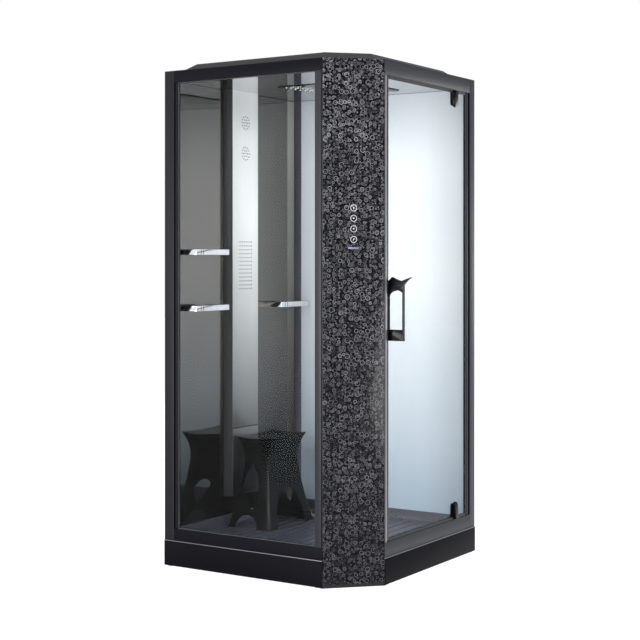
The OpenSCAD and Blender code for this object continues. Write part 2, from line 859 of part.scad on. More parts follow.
module column_back_cover() color(grey) difference() {
    box([-hx, -base_side, bottom_rail_top], [-hx + back_cover_t, base_side, top_rail_z]);
    for (side = [-1, 1])
        translate([-hx - 1, side*inlet_spacing/2, valve_z]) rotate([0, 90, 0])
            cylinder(r = inlet_r + inlet_gap, h = back_cover_t + 2);
    translate([-hx - 1, 0, gland_z]) rotate([0, 90, 0])
        cylinder(r = gland_bore_r + gland_wall + press_gap, h = back_cover_t + 2);
}

// One nozzle on the column's face
module nozzle() rotate([0, 90, 0]) cylinder(r = nozzle_r, h = nozzle_out, $fn = 24);

module column_nozzles() color(grey) {
    for (i = [0:field_columns - 1], j = [0:field_rows - 1])
        translate([column_face, i*field_pitch - field_half, field_z + j*field_pitch]) nozzle();
    for (z = jet_heights, ring = [0:2], k = [0:max(1, 6*ring) - 1]) {
        angle = k*360/max(1, 6*ring);
        radius = ring*jet_ring_r/2;
        translate([column_face, radius*cos(angle), z + radius*sin(angle)]) nozzle();
    }
}

module nozzle_chambers() color(black) {
    box([chamber_front - chamber_d, -field_half - chamber_margin, field_z - chamber_margin],
        [chamber_front, field_half + chamber_margin, field_top + chamber_margin]);
    for (z = jet_heights)
        translate([chamber_front - chamber_d, 0, z]) rotate([0, 90, 0])
            cylinder(r = jet_ring_r + chamber_margin, h = chamber_d);
}

module mixing_valve() color(brass) {
    reach = inlet_spacing/2;
    translate([manifold_x, -reach - valve_r, valve_z]) rotate([-90, 0, 0])
        cylinder(r = valve_r, h = 2*(reach + valve_r));
    for (side = [-1, 1]) translate([-hx - inlet_len, side*reach, valve_z]) rotate([0, 90, 0]) {
        cylinder(r = inlet_r, h = inlet_len - inlet_free);
        cylinder(r = inlet_r - neck_step, h = manifold_x + hx + inlet_len);
    }
    translate([manifold_x, 0, valve_z]) cylinder(r = pipe_r, h = manifold_z - valve_z);
}

module valve_manifold() color(brass)
    box([manifold_x - manifold_d/2, -manifold_w/2, manifold_z],
        [manifold_x + manifold_d/2, manifold_w/2, manifold_z + manifold_h]);

module solenoid_valves() color(black)
    for (y = solenoid_ys) translate([manifold_x, y, manifold_z + manifold_h]) {
        cylinder(r = solenoid_r, h = solenoid_h);
        translate([-coil_w/2, -coil_w/2, solenoid_h]) cube([coil_w, coil_w, coil_h]);
    }

// Pipe from one point to the next, with round elbows
module pipe(points) {
    for (i = [0:len(points) - 2]) {
        span = points[i + 1] - points[i];
        translate(points[i])
            rotate([0, acos(span[2]/norm(span)), atan2(span[1], span[0])])
            cylinder(r = pipe_r, h = norm(span));
    }
    if (len(points) > 2) for (i = [1:len(points) - 2]) translate(points[i]) sphere(r = pipe_r);
}

module water_pipes() color(steel) {
    start = manifold_z + manifold_h + solenoid_h + coil_h;
    chamber_back = chamber_front - chamber_d;
    heights = [(field_z + field_top)/2, jet_heights[0], jet_heights[1]];
    for (i = [0:2]) let(y = solenoid_ys[i])
        pipe([[manifold_x, y, start], [manifold_x, y, heights[i]], [chamber_back, y, heights[i]]]);
    riser_y = solenoid_ys[3];
    pipe([[manifold_x, riser_y, start], [manifold_x, riser_y, top_rail_z - 80],
          [riser_x, riser_y, top_rail_z - 40], [riser_x, riser_y, ceiling_pipe_z],
          [0, rain_y, ceiling_pipe_z], [0, rain_y, ceiling_z]]);
}

module cable_gland() color(black) translate([-hx, 0, gland_z]) rotate([0, 90, 0]) difference() {
    union() {
        translate([0, 0, -gland_len]) cylinder(r = 1.4*(gland_bore_r + gland_wall), h = gland_len, $fn = 6);
        cylinder(r = gland_bore_r + gland_wall, h = gland_len);
    }
    translate([0, 0, -gland_len - 1]) cylinder(r = gland_bore_r, h = 2*gland_len + 2);
}

// Places a shelf by its middle and the underside of its rail
module at_shelves() {
    middle = shelf_y + shelf_len/2;
    for (p = [[-middle, shelf_high_z], [-middle, shelf_low_z], [middle, shelf_low_z]])
        translate([-rx, p[0], p[1]]) children();
}

// Space inside a shelf rail, moved in by inset, from z0 up to z1
module shelf_space(inset, z0, z1) {
    half = shelf_len/2 - shelf_rail_t - inset;
    box([-1, -half, z0], [shelf_d - shelf_rail_t - inset, half, z1]);
}

module shelf_rails() color(steel) at_shelves() difference() {
    box([0, -shelf_len/2, 0], [shelf_d, shelf_len/2, shelf_rail_h]);
    shelf_space(0, -1, shelf_seat - shelf_ledge[1]);
    shelf_space(shelf_ledge[0], -1, shelf_rail_h);
    shelf_space(0, shelf_seat, shelf_rail_h + 1);
}

module shelf_glass() color([0.7, 0.8, 0.82, 0.4]) at_shelves() {
    half = shelf_len/2 - shelf_rail_t;
    box([0, -half, shelf_seat], [shelf_d - shelf_rail_t, half, shelf_seat + shelf_glass_t]);
}

// Ceiling and roof

module ceiling_panel() color([0.3, 0.31, 0.33]) difference() {
    translate([0, 0, ceiling_z]) linear_extrude(ceiling_t) polygon(room_outline(0));
    for (p = [[riser_x, solenoid_ys[3]], [0, rain_y]])
        translate([p[0], p[1], ceiling_z - 1]) cylinder(r = pipe_r + pipe_gap, h = ceiling_t + 2);
}

module rain_head() color([0.25, 0.26, 0.28])
    box([-rain_w/2, rain_y - rain_w/2, rain_z], [rain_w/2, rain_y + rain_w/2, ceiling_z]);

module rain_nozzles() color(grey)
    for (i = [0:rain_count - 1], j = [0:rain_count - 1])
        translate([-rain_w/2 + rain_edge + i*rain_pitch,
                   rain_y - rain_w/2 + rain_edge + j*rain_pitch, rain_z - nozzle_out])
            cylinder(r = nozzle_r, h = nozzle_out, $fn = 24);

module roof_plate() color(dark)
    translate([0, 0, rail_top]) linear_extrude(roof_t) polygon(frame_outline(0));

// Outline of the roof cover, moved in by inset
function cover_outline(inset) =
    let(line = panel_line - (cover_chamfer + inset)*sqrt(2), left = -hx + cover_left + inset,
        right = hx - cover_right - inset, front = -hy + cover_front + inset,
        back = hy - cover_back - inset)
    [[left, front], [line + front, front], [right, right - line], [right, back], [left, back]];

// Hipped body of the roof cover, moved in by inset, of the given height
module hip(inset, height) hull() {
    translate([0, 0, frame_top]) linear_extrude(eps) polygon(cover_outline(inset));
    translate([0, 0, frame_top + height - eps]) linear_extrude(eps)
        polygon(cover_outline(cover_slope + inset));
}

module roof_cover() color([0.42, 0.42, 0.45]) difference() {
    hip(0, cover_h);
    translate([0, 0, -eps]) hip(cover_wall, cover_h - cover_wall);
}

// Control column

module control_housing() color(dark) difference() {
    translate([0, 0, base_top]) linear_extrude(rail_top - base_top) polygon(control_outline(0));
    translate([0, 0, base_top - 1]) linear_extrude(rail_top - base_top + 2)
        polygon(control_outline(control_wall));
}

module control_panel() color(black) on_chamfer()
    translate([0, 0, panel_floor_gap]) linear_extrude(frame_top - panel_floor_gap)
        polygon([[-panel_half, 0], [panel_half, 0], [panel_half - panel_t, panel_t - glue_gap],
                 [-panel_half + panel_t, panel_t - glue_gap]]);

module control_board() color("darkgreen") on_chamfer() {
    back = panel_t + control_wall + glue_gap;
    box([-board_w/2, back, display_z - board_margin],
        [board_w/2, back + board_t, max(ring_heights) + board_margin]);
    box([-supply_size[0]/2, back + board_t, display_z - supply_size[1]/2],
        [supply_size[0]/2, back + board_t + supply_d, display_z + supply_size[1]/2]);
}

module touch_marks() color([0.8, 0.82, 0.86]) on_chamfer() {
    for (z = ring_heights) translate([0, 0, z]) rotate([90, 0, 0]) {
        difference() {
            cylinder(r = ring_r, h = mark_t);
            translate([0, 0, -1]) cylinder(r = ring_r - ring_line, h = mark_t + 2);
        }
        cylinder(r = dot_r, h = mark_t);
    }
    box([-display_w/2, -mark_t, display_z - display_h/2], [display_w/2, 0, display_z + display_h/2]);
}

// Door

// Bush in the sill, its flange under the door
module pivot_bush() difference() {
    union() {
        cylinder(r = bush_flange_r, h = door_gap);
        translate([0, 0, -pin_depth - bush_floor]) cylinder(r = bush_r, h = pin_depth + bush_floor);
    }
    translate([0, 0, -pin_depth])
        cylinder(r = pin_r + pin_clearance, h = pin_depth + door_gap + 1);
}

module pivot_bushes() color(black) translate([door_xc, pivot_y, 0]) {
    translate([0, 0, sill_top]) pivot_bush();
    translate([0, 0, door_rail_z]) mirror([0, 0, 1]) pivot_bush();
}

// Whole pane of the door, without its notches and holes
module door_pane() box([door_x0, glass_y0, door_z0], [door_x1, glass_y1, door_z1]);

// Notches of the pane at the pivots, of the given width, running past its edge by extra
module pivot_notches(width, extra)
    for (z = [[door_z0 - extra, door_z0 + notch_h], [door_z1 - notch_h, door_z1 + extra]])
        box([door_x0 - extra, pivot_y - width/2, z[0]], [door_x1 + extra, pivot_y + width/2, z[1]]);

module door_glass() color([0.75, 0.85, 0.9, 0.3]) difference() {
    door_pane();
    pivot_notches(notch_w, 1);
    for (z = [lower_bolt_z, upper_bolt_z])
        translate([door_x0 - 1, bolt_y, z]) rotate([0, 90, 0])
            cylinder(r = bolt_r + bolt_clearance, h = door_t + 2);
}

module latch_seal() color(grey) difference() {
    box([door_xc - seal_t/2, seal_y, door_z0], [door_xc + seal_t/2, glass_y0 + seal_cover, door_z1]);
    door_pane();
}

module tail_seal() color(black) difference() {
    box([door_xc - seal_t/2, glass_y1 - seal_cover, door_z0], [door_xc + seal_t/2, tail_y, door_z1]);
    door_pane();
}

module edge_seals() color(black) {
    clear = clamp_w/2 + 1;
    edges = [[glass_y0 + seal_cover, pivot_y - clear], [pivot_y + clear, glass_y1 - seal_cover]];
    levels = [[door_z0 - door_gap + edge_gap, door_z0 + drip_seal_h],
              [door_z1 - drip_seal_h, door_z1 + door_gap - edge_gap]];
    difference() {
        for (y = edges, z = levels)
            box([door_xc - seal_t/2, y[0], z[0]], [door_xc + seal_t/2, y[1], z[1]]);
        door_pane();
    }
}

// Tongue-shaped plates of the hinge clamps at both pivots, their round ends towards the
// middle of the door
module tongues(height, thickness)
    for (end = [[door_z0, 0], [door_z1, 1]])
        translate([0, pivot_y, end[0]]) mirror([0, 0, end[1]]) {
            translate([0, -clamp_w/2, 0]) cube([thickness, clamp_w, height - clamp_w/2]);
            translate([0, 0, height - clamp_w/2]) rotate([0, 90, 0])
                cylinder(r = clamp_w/2, h = thickness);
        }

module hinge_clamps_outer() color(black) difference() {
    union() {
        translate([door_x1, 0, 0]) tongues(clamp_h, clamp_t);
        pivot_notches(notch_w - 2*notch_gap, 0);
    }
    for (z = [door_z0 - 1, door_z1 - pin_hold])
        translate([door_xc, pivot_y, z]) cylinder(r = pin_r + press_gap, h = pin_hold + 1);
}

module hinge_clamps_inner() color(black)
    translate([door_x0 - clamp_inner_t, 0, 0]) tongues(clamp_inner_h, clamp_inner_t);

module pivot_pins() color(steel) {
    reach = pin_hold + door_gap + pin_depth - pin_end_gap;
    translate([door_xc, pivot_y, door_z0 + pin_hold - reach]) cylinder(r = pin_r, h = reach);
    translate([door_xc, pivot_y, door_z1 - pin_hold]) cylinder(r = pin_r, h = reach);
}

// Outline of the outer handle: across is the distance from the glass, up the height
function handle_outline() = let(tip = handle_out + horn_out) concat(
    [[0, 0], [handle_out, 0]],
    [for (i = [0:horn_steps]) let(t = i/horn_steps)
        [handle_out + horn_out*t, handle_h - horn_tip - horn_h*(1 - t) + horn_bow*sin(180*t)]],
    [[tip, handle_h], [dip_out, handle_h - horn_dip], [inner_horn_out, handle_h],
     [0, handle_h - back_drop]]);

// Finger gap of a handle of the given projection, curved down to the glass at its top
function finger_gap(out) =
    let(inner = out - grip_t, top = handle_h - head_h, reach = 0.7*(inner - back_t)) concat(
    [[back_t, lower_leg_h], [inner, lower_leg_h], [inner, top - 0.3*gap_curve]],
    [for (a = [90:15:180])
        [back_t + reach + reach*cos(a), top - gap_curve + gap_curve*sin(a)]]);

// Sets an outline upright on the glass, its thickness along Y
module upright(points, thickness)
    translate([0, thickness, 0]) rotate([90, 0, 0]) linear_extrude(thickness) polygon(points);

// Bores of the handle bolts, running from the glass into the handle
module bolt_bores()
    for (z = [lower_bolt_z, upper_bolt_z]) translate([-1, handle_t/2, z - handle_z])
        rotate([0, 90, 0]) cylinder(r = bolt_r + press_gap, h = bolt_depth + 1);

module handle_outer() color(black) translate([door_x1, handle_y, handle_z]) difference() {
    upright(handle_outline(), handle_t);
    translate([0, -1, 0]) upright(finger_gap(handle_out), handle_t + 2);
    bolt_bores();
}

module handle_inner() color(black) translate([door_x0, handle_y, handle_z]) mirror([1, 0, 0]) {
    out = inner_handle_out;
    difference() {
        upright([[0, 0], [out, 0], [out, handle_h - inner_bevel], [out - inner_bevel, handle_h],
                 [0, handle_h]], handle_t);
        translate([0, -1, 0]) upright(finger_gap(out), handle_t + 2);
        bolt_bores();
    }
}

module handle_bolts() color(steel)
    for (z = [lower_bolt_z, upper_bolt_z])
        translate([door_x0 - bolt_depth, bolt_y, z]) rotate([0, 90, 0])
            cylinder(r = bolt_r, h = 2*bolt_depth + door_t);

// Stool

// Half width of the stool at a height, from its seat, waist and foot widths
function stool_half(seat, foot, z) = let(waist = seat/2 - waist_in)
    z > waist_h ? waist + (seat/2 - waist)*pow((z - waist_h)/(stool_h - waist_h), 2)
                : waist + (foot/2 - waist)*pow((waist_h - z)/waist_h, 1.4);

// Upright outline of the stool, moved in by inset
function stool_profile(seat, foot, inset) = concat(
    [for (i = [0:stool_steps]) let(z = i*waist_h/stool_steps)
        [stool_half(seat, foot, z) - inset, z]],
    [for (i = [1:stool_steps/2]) let(z = waist_h + i*2*(stool_h - waist_h)/stool_steps)
        [stool_half(seat, foot, z) - inset, z]]);

// The same outline on both sides, with the dished seat between its tips
function stool_face(seat, foot, inset, dish) = let(right = stool_profile(seat, foot, inset)) concat(
    right,
    [for (i = [1:stool_steps - 1]) let(t = 1 - 2*i/stool_steps)
        [(seat/2 - inset)*t, stool_h - dish*(1 - t*t)]],
    [for (i = [len(right) - 1:-1:0]) [-right[i][0], right[i][1]]]);

// Body of the stool: its two upright outlines crossed
module stool_form(inset, dish) intersection() {
    translate([0, foot_d, 0]) rotate([90, 0, 0]) linear_extrude(2*foot_d)
        polygon(stool_face(seat_w, foot_w, inset, dish));
    translate([-foot_w, 0, 0]) rotate([90, 0, 90]) linear_extrude(2*foot_w)
        polygon(stool_face(seat_d, foot_d, inset, dish));
}

// Lens-shaped outline from its lower tip, its upper tip leaning to the left
function lens(w, h, lean) = concat(
    [for (i = [0:stool_steps]) let(t = i/stool_steps) [w/2*sin(180*t) - lean*(t - 0.5), h*t]],
    [for (i = [1:stool_steps - 1]) let(t = 1 - i/stool_steps)
        [-w/2*sin(180*t) - lean*(t - 0.5), h*t]]);

// Width of a window that leaves a leg beside it
function lens_fit() = let(z = lens_z + lens_h/2)
    min(lens_w, 2*(stool_half(seat_w, foot_w, z) - window_shift - lens_rim));

// Arch outline standing on z = 0
function arch(w, h) = [for (i = [0:2*stool_steps]) let(a = i*90/stool_steps)
    [w/2*cos(a), a == 0 || a == 180 ? -1 : h*sin(a)]];

module stool() color(black) translate([stool_x, stool_y, floor_z]) difference() {
    stool_form(0, seat_dish);
    translate([0, 0, -stool_wall]) stool_form(stool_wall, seat_dish);
    translate([-window_shift, foot_d, lens_z]) rotate([90, 0, 0]) linear_extrude(2*foot_d)
        polygon(lens(lens_fit(), lens_h, lens_lean));
    for (side = [[0, arch_w, arch_h], [-foot_w, back_arch_w, back_arch_h]])
        translate([side[0], 0, 0]) rotate([90, 0, 90]) linear_extrude(foot_w)
            polygon(arch(side[1], side[2]));
    translate([-window_shift, 0, 0]) rotate([90, 0, 0]) linear_extrude(foot_d)
        polygon(arch(low_arch_w, low_arch_h));
}

support_frame();
levelling_feet();
tray();
drain_cover();
waste_trap();
skirt_front();
skirt_door();
trim_strips();
post_left();
post_right();
post_rear();
bottom_rail_front();
bottom_rails_rear();
door_sill();
top_rail_front();
top_rail_door();
top_rails_rear();
glass_channel();
glass_jamb();
latch_jamb();
pivot_jamb();
fixed_glass();
glass_gasket();
dark_wall_glass();
light_wall_glass();
corner_trim();
column_body();
column_plate();
column_lower_plate();
column_back_cover();
column_nozzles();
nozzle_chambers();
mixing_valve();
valve_manifold();
solenoid_valves();
water_pipes();
cable_gland();
shelf_rails();
shelf_glass();
ceiling_panel();
rain_head();
rain_nozzles();
roof_plate();
roof_cover();
control_housing();
control_panel();
control_board();
touch_marks();
pivot_bushes();
door_glass();
latch_seal();
tail_seal();
edge_seals();
hinge_clamps_outer();
hinge_clamps_inner();
pivot_pins();
handle_outer();
handle_inner();
handle_bolts();
stool();
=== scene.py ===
"""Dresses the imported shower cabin: finishes, fine pieces, studio and camera.

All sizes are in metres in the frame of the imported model: the origin lies on the
floor under the middle of the cabin, -Y looks out through the fixed glass and +X
through the door.
"""

import json
import logging
import math
from collections.abc import Iterable, Sequence
from dataclasses import dataclass, field
from enum import Enum
from functools import lru_cache
from typing import ClassVar

import bmesh
import bpy
from mathutils import Matrix, Vector


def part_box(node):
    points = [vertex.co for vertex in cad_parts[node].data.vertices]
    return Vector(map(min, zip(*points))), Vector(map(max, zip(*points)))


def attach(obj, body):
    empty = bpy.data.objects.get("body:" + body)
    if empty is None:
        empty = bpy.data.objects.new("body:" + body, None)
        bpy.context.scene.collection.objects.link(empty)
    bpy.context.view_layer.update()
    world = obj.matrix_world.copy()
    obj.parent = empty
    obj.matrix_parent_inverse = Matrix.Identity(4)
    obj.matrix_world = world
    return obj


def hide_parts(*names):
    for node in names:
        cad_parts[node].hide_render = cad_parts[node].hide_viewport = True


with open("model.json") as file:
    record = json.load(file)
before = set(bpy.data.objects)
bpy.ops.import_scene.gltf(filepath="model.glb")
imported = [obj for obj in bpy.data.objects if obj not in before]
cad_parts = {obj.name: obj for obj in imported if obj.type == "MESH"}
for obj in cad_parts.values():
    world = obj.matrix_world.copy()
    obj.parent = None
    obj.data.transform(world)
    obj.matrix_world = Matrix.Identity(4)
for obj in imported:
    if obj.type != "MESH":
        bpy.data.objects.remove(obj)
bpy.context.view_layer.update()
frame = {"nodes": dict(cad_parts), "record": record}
LOG = logging.getLogger("shower_cabin")
MM = 0.001

Colour = tuple[float, float, float]
Point = tuple[float, float, float]
Pair = tuple[float, float]
Linear = tuple[float, float, float, float]
Socket = bpy.types.NodeSocket

# Turn that lays the cut-off corner's face along X
CORNER_TURN = (0.0, 0.0, -math.pi / 4)
# Scales that draw water marks and smears out along Z
LONG_MARKS = (1, 1, 0.4)
LONG_SMEARS = (1, 1, 0.35)
# Linear colours of white and of a print whose light has faded
WHITE = (1.0, 1.0, 1.0, 1.0)
UNLIT = (0.01, 0.01, 0.015, 1.0)
# Corners nearer than this are merged, and faces that meet at fewer degrees are one
MERGE = 1e-6
FLAT = 0.5


class Body(Enum):
    """The bodies that pieces ride on."""

    CABIN = "cabin"
    DOOR = "door"
    STOOL = "stool"


class Slot(Enum):
    """The record's material slots."""

    STEEL_FRAME = "steel_frame"
    DARK_PROFILE = "dark_profile"
    GREY_PROFILE = "grey_profile"
    BRIGHT_METAL = "bright_metal"
    BRUSHED_PLATE = "brushed_plate"
    BLACK_PLASTIC = "black_plastic"
    GREY_PLASTIC = "grey_plastic"
    TRAY_ACRYLIC = "tray_acrylic"
    SKIRT = "skirt"
    CLEAR_GLASS = "clear_glass"
    DARK_MIRROR = "dark_mirror"
    LIGHT_GLASS = "light_glass"
    RUBBER = "rubber"
    CLEAR_SEAL = "clear_seal"
    BRASS = "brass"
    ROOF_PLASTIC = "roof_plastic"
    CEILING = "ceiling"
    PATTERNED_GLASS = "patterned_glass"
    PRINT = "print"
    BOARD = "board"
    STOOL_PLASTIC = "stool_plastic"


class Pattern(Enum):
    """How copies of a small form are laid out."""

    GRID = "MeshGrid"
    RING = "MeshCircle"
    LINE = "MeshLine"


class Axis(Enum):
    """A direction in the cabin's frame."""

    X = (1.0, 0.0, 0.0)
    Y = (0.0, 1.0, 0.0)
    Z = (0.0, 0.0, 1.0)


def linear(colour: Colour) -> Linear:
    """Turns a colour in 0 to 255 steps into the linear values that shaders take.

    Args:
        colour: Red, green and blue as a picture file holds them.

    Returns:
        Linear red, green, blue and a full alpha.
    """
    steps = (c / 255 for c in colour)
    r, g, b = (s / 12.92 if s <= 0.04045 else ((s + 0.055) / 1.055) ** 2.4 for s in steps)
    return r, g, b, 1.0


def scaled(colour: Colour, factor: float) -> Colour:
    """Returns the colour made lighter or darker by a factor on its 0 to 255 steps."""
    r, g, b = (min(255.0, c * factor) for c in colour)
    return r, g, b


class Sketch:
    """Builds the node tree of one material, or of the studio's sky."""

    def __init__(self, owner: bpy.types.Material | bpy.types.World) -> None:
        """Starts with an empty tree.

        Args:
            owner: The material or world whose nodes are built.
        """
        owner.use_nodes = True
        self.owner = owner
        self.tree = owner.node_tree
        self.tree.nodes.clear()

    def feed(self, target: Socket, value: object) -> None:
        """Links a socket to an input, or sets the input's own value."""
        if isinstance(value, bpy.types.NodeSocket):
            self.tree.links.new(value, target)
        else:
            target.default_value = value

    def add(self, kind: str, settings: dict[str, object] | None = None,
            **inputs: object) -> bpy.types.Node:
        """Adds a node.

        Args:
            kind: The node's type, without its ShaderNode prefix.
            settings: The node's own properties.
            **inputs: Values or sockets by input name, an underscore for each space.

        Returns:
            The new node.
        """
        node = self.tree.nodes.new("ShaderNode" + kind)
        for key, value in (settings or {}).items():
            setattr(node, key, value)
        for key, value in inputs.items():
            self.feed(node.inputs[key.replace("_", " ")], value)
        return node

    def math(self, operation: str, *values: object) -> Socket:
        """Adds a Math node and returns its result."""
        node = self.add("Math", {"operation": operation})
        for target, value in zip(node.inputs, values):
            self.feed(target, value)
        return node.outputs[0]

    def vector(self, operation: str, *values: object) -> Socket:
        """Adds a Vector Math node and returns its vector."""
        node = self.add("VectorMath", {"operation": operation})
        for target, value in zip(node.inputs, values):
            self.feed(target, value)
        return node.outputs["Vector"]

    def average(self, first: Socket, second: Socket, share: float) -> Socket:
        """Adds two values, the first weighed by its share and the second by the rest."""
        return self.math("ADD", self.math("MULTIPLY", first, share), self.math("MULTIPLY", second, 1 - share))

    def place(self, scale: Point = (1, 1, 1), turn: Point = (0, 0, 0)) -> Socket:
        """Object coordinates, turned and scaled by a Mapping node."""
        coordinates = self.add("TexCoord").outputs["Object"]
        return self.add("Mapping", Vector=coordinates, Rotation=turn, Scale=scale).outputs["Vector"]

    def stretched(self, axis: Axis, scales: Pair) -> Socket:
        """Object coordinates scaled by the first number along an axis and by the second across it."""
        return self.place(scale=tuple(scales[0] if part else scales[1] for part in axis.value))

    def split(self, turn: Point = (0, 0, 0)) -> bpy.types.bpy_prop_collection:
        """Object coordinates, turned and split into X, Y and Z."""
        return self.add("SeparateXYZ", Vector=self.place(turn=turn)).outputs

    def noise(self, where: Socket, scale: float, detail: float = 3.0) -> Socket:
        """Noise from 0 to 1, about 0.5 in the middle."""
        return self.add("TexNoise", Vector=where, Scale=scale, Detail=detail).outputs["Fac"]

    def spread(self, value: Socket, low: float = 0.0, high: float = 1.0, start: float = 0.3,
               end: float = 0.7) -> Socket:
        """Maps a value's range from start to end onto low to high, clamped."""
        node = self.add("MapRange", Value=value)
        for name, number in (("From Min", start), ("From Max", end), ("To Min", low), ("To Max", high)):
            node.inputs[name].default_value = number
        return node.outputs["Result"]

    def mix(self, share: object, first: object, second: object) -> Socket:
        """Mixes two colours by a share from 0 to 1."""
        node = self.add("Mix", {"data_type": "RGBA"})
        self.feed(node.inputs["Factor"], share)
        self.feed(node.inputs[6], first)
        self.feed(node.inputs[7], second)
        return node.outputs[2]

    def mix_shaders(self, share: Socket, first: Socket, second: Socket) -> Socket:
        """Mixes two shaders by a share from 0 to 1."""
        node = self.add("MixShader")
        for target, value in zip(node.inputs, (share, first, second)):
            self.feed(target, value)
        return node.outputs[0]

    def bump(self, height: Socket, strength: float, distance: float) -> Socket:
        """Turns a height into a normal."""
        return self.add("Bump", Height=height, Strength=strength, Distance=distance).outputs["Normal"]

    def shade(self, **inputs: object) -> Socket:
        """Adds the Principled shader and returns its output."""
        return self.add("BsdfPrincipled", **inputs).outputs["BSDF"]

    def finish(self, shader: Socket) -> bpy.types.Material | bpy.types.World:
        """Connects the shader to the output and returns what was built."""
        kind = "OutputWorld" if isinstance(self.owner, bpy.types.World) else "OutputMaterial"
        self.add(kind, Surface=shader)
        return self.owner


@dataclass(frozen=True)
class Finish:
    """A finish of the cabin: how one of its materials looks.

    Attributes:
        slot: The record's slot that the finish belongs to.
        colour: Its main colour in 0 to 255 steps.
    """

    slot: Slot
    colour: Colour

    def paint(self, sketch: Sketch) -> Socket:
        """Builds the finish's shader and returns its output."""
        raise NotImplementedError

    def toned(self, sketch: Sketch, share: object, less: float, more: float = 1.0) -> Socket:
        """The main colour between two levels of itself.

        Args:
            sketch: The material being built.
            share: 0 for the lower level, 1 for the upper one.
            less: The lower level, as a factor on the colour.
            more: The upper level.

        Returns:
            The mixed colour.
        """
        return sketch.mix(share, linear(scaled(self.colour, less)), linear(scaled(self.colour, more)))

    def material(self) -> bpy.types.Material:
        """Returns the finish's material, built once."""
        return _built(self)


@lru_cache(maxsize=None)
def _built(finish: Finish) -> bpy.types.Material:
    """Builds a finish's material, one for each distinct finish."""
    sketch = Sketch(bpy.data.materials.new(f"{finish.slot.value}_{type(finish).__name__}"))
    return sketch.finish(finish.paint(sketch))


@dataclass(frozen=True)
class CoatedProfile(Finish):
    """Powder-coated or anodised metal with a fine even grain.

    Attributes:
        roughness: Roughness of the coat.
        shine: Specular level of the coat.
        drawn: Direction in which the profile was drawn, with faint streaks along it.
        streaks: Streaks for each metre along and across that direction.
        grain: Grains of the coat for each metre.
        clouds: Clouds of tone for each metre.
        change: How far tone and roughness depart from their middle.
        relief: Strength and depth of the grain's bump.
    """

    roughness: float = 0.42
    shine: float = 0.25
    drawn: Axis = Axis.Z
    streaks: Pair = (3.0, 160.0)
    grain: float = 1500.0
    clouds: float = 4.0
    change: float = 0.06
    relief: Pair = (0.12, 0.12 * MM)

    def paint(self, sketch: Sketch) -> Socket:
        """Builds the coat: streaked colour, grain and a soft bump."""
        streaks = sketch.noise(sketch.stretched(self.drawn, self.streaks), 1.0)
        grain = sketch.noise(sketch.place(), self.grain, 2.0)
        clouds = sketch.noise(sketch.place(), self.clouds)
        tone = sketch.spread(sketch.average(streaks, clouds, 0.5))
        return sketch.shade(
            Base_Color=self.toned(sketch, tone, 1 - self.change, 1 + self.change),
            Roughness=sketch.spread(grain, self.roughness - self.change, self.roughness + self.change),
            Normal=sketch.bump(grain, *self.relief),
            Specular_IOR_Level=self.shine)


@dataclass(frozen=True)
class MouldedPlastic(Finish):
    """Moulded plastic, from satin to high gloss.

    Attributes:
        roughness: Roughness of the skin.
        shine: Specular level of the skin.
        grain: Grains of the surface for each metre.
        grain_depth: Depth of the grain as a share of the sink waves' depth.
        clouds: Clouds of tone for each metre.
        waves: Sink waves for each metre.
        change: How far the tone departs from its middle.
        dulling: Least and most roughness, as factors on the roughness.
        relief: Strength and depth of the bump.
    """

    roughness: float = 0.25
    shine: float = 0.35
    grain: float = 900.0
    grain_depth: float = 0.04
    clouds: float = 9.0
    waves: float = 14.0
    change: float = 0.07
    dulling: Pair = (0.85, 1.2)
    relief: Pair = (0.1, 1.0 * MM)

    def paint(self, sketch: Sketch) -> Socket:
        """Builds the plastic: slight clouding, a moulded grain and sink waves."""
        clouds = sketch.noise(sketch.place(), self.clouds)
        grain = sketch.noise(sketch.place(), self.grain, 2.0)
        waves = sketch.noise(sketch.place(), self.waves, 1.0)
        height = sketch.math("ADD", sketch.math("MULTIPLY", grain, self.grain_depth), waves)
        least, most = (self.roughness * factor for factor in self.dulling)
        return sketch.shade(
            Base_Color=self.toned(sketch, sketch.spread(clouds), 1 - self.change, 1 + self.change),
            Roughness=sketch.spread(clouds, least, most),
            Normal=sketch.bump(height, *self.relief),
            Specular_IOR_Level=self.shine)


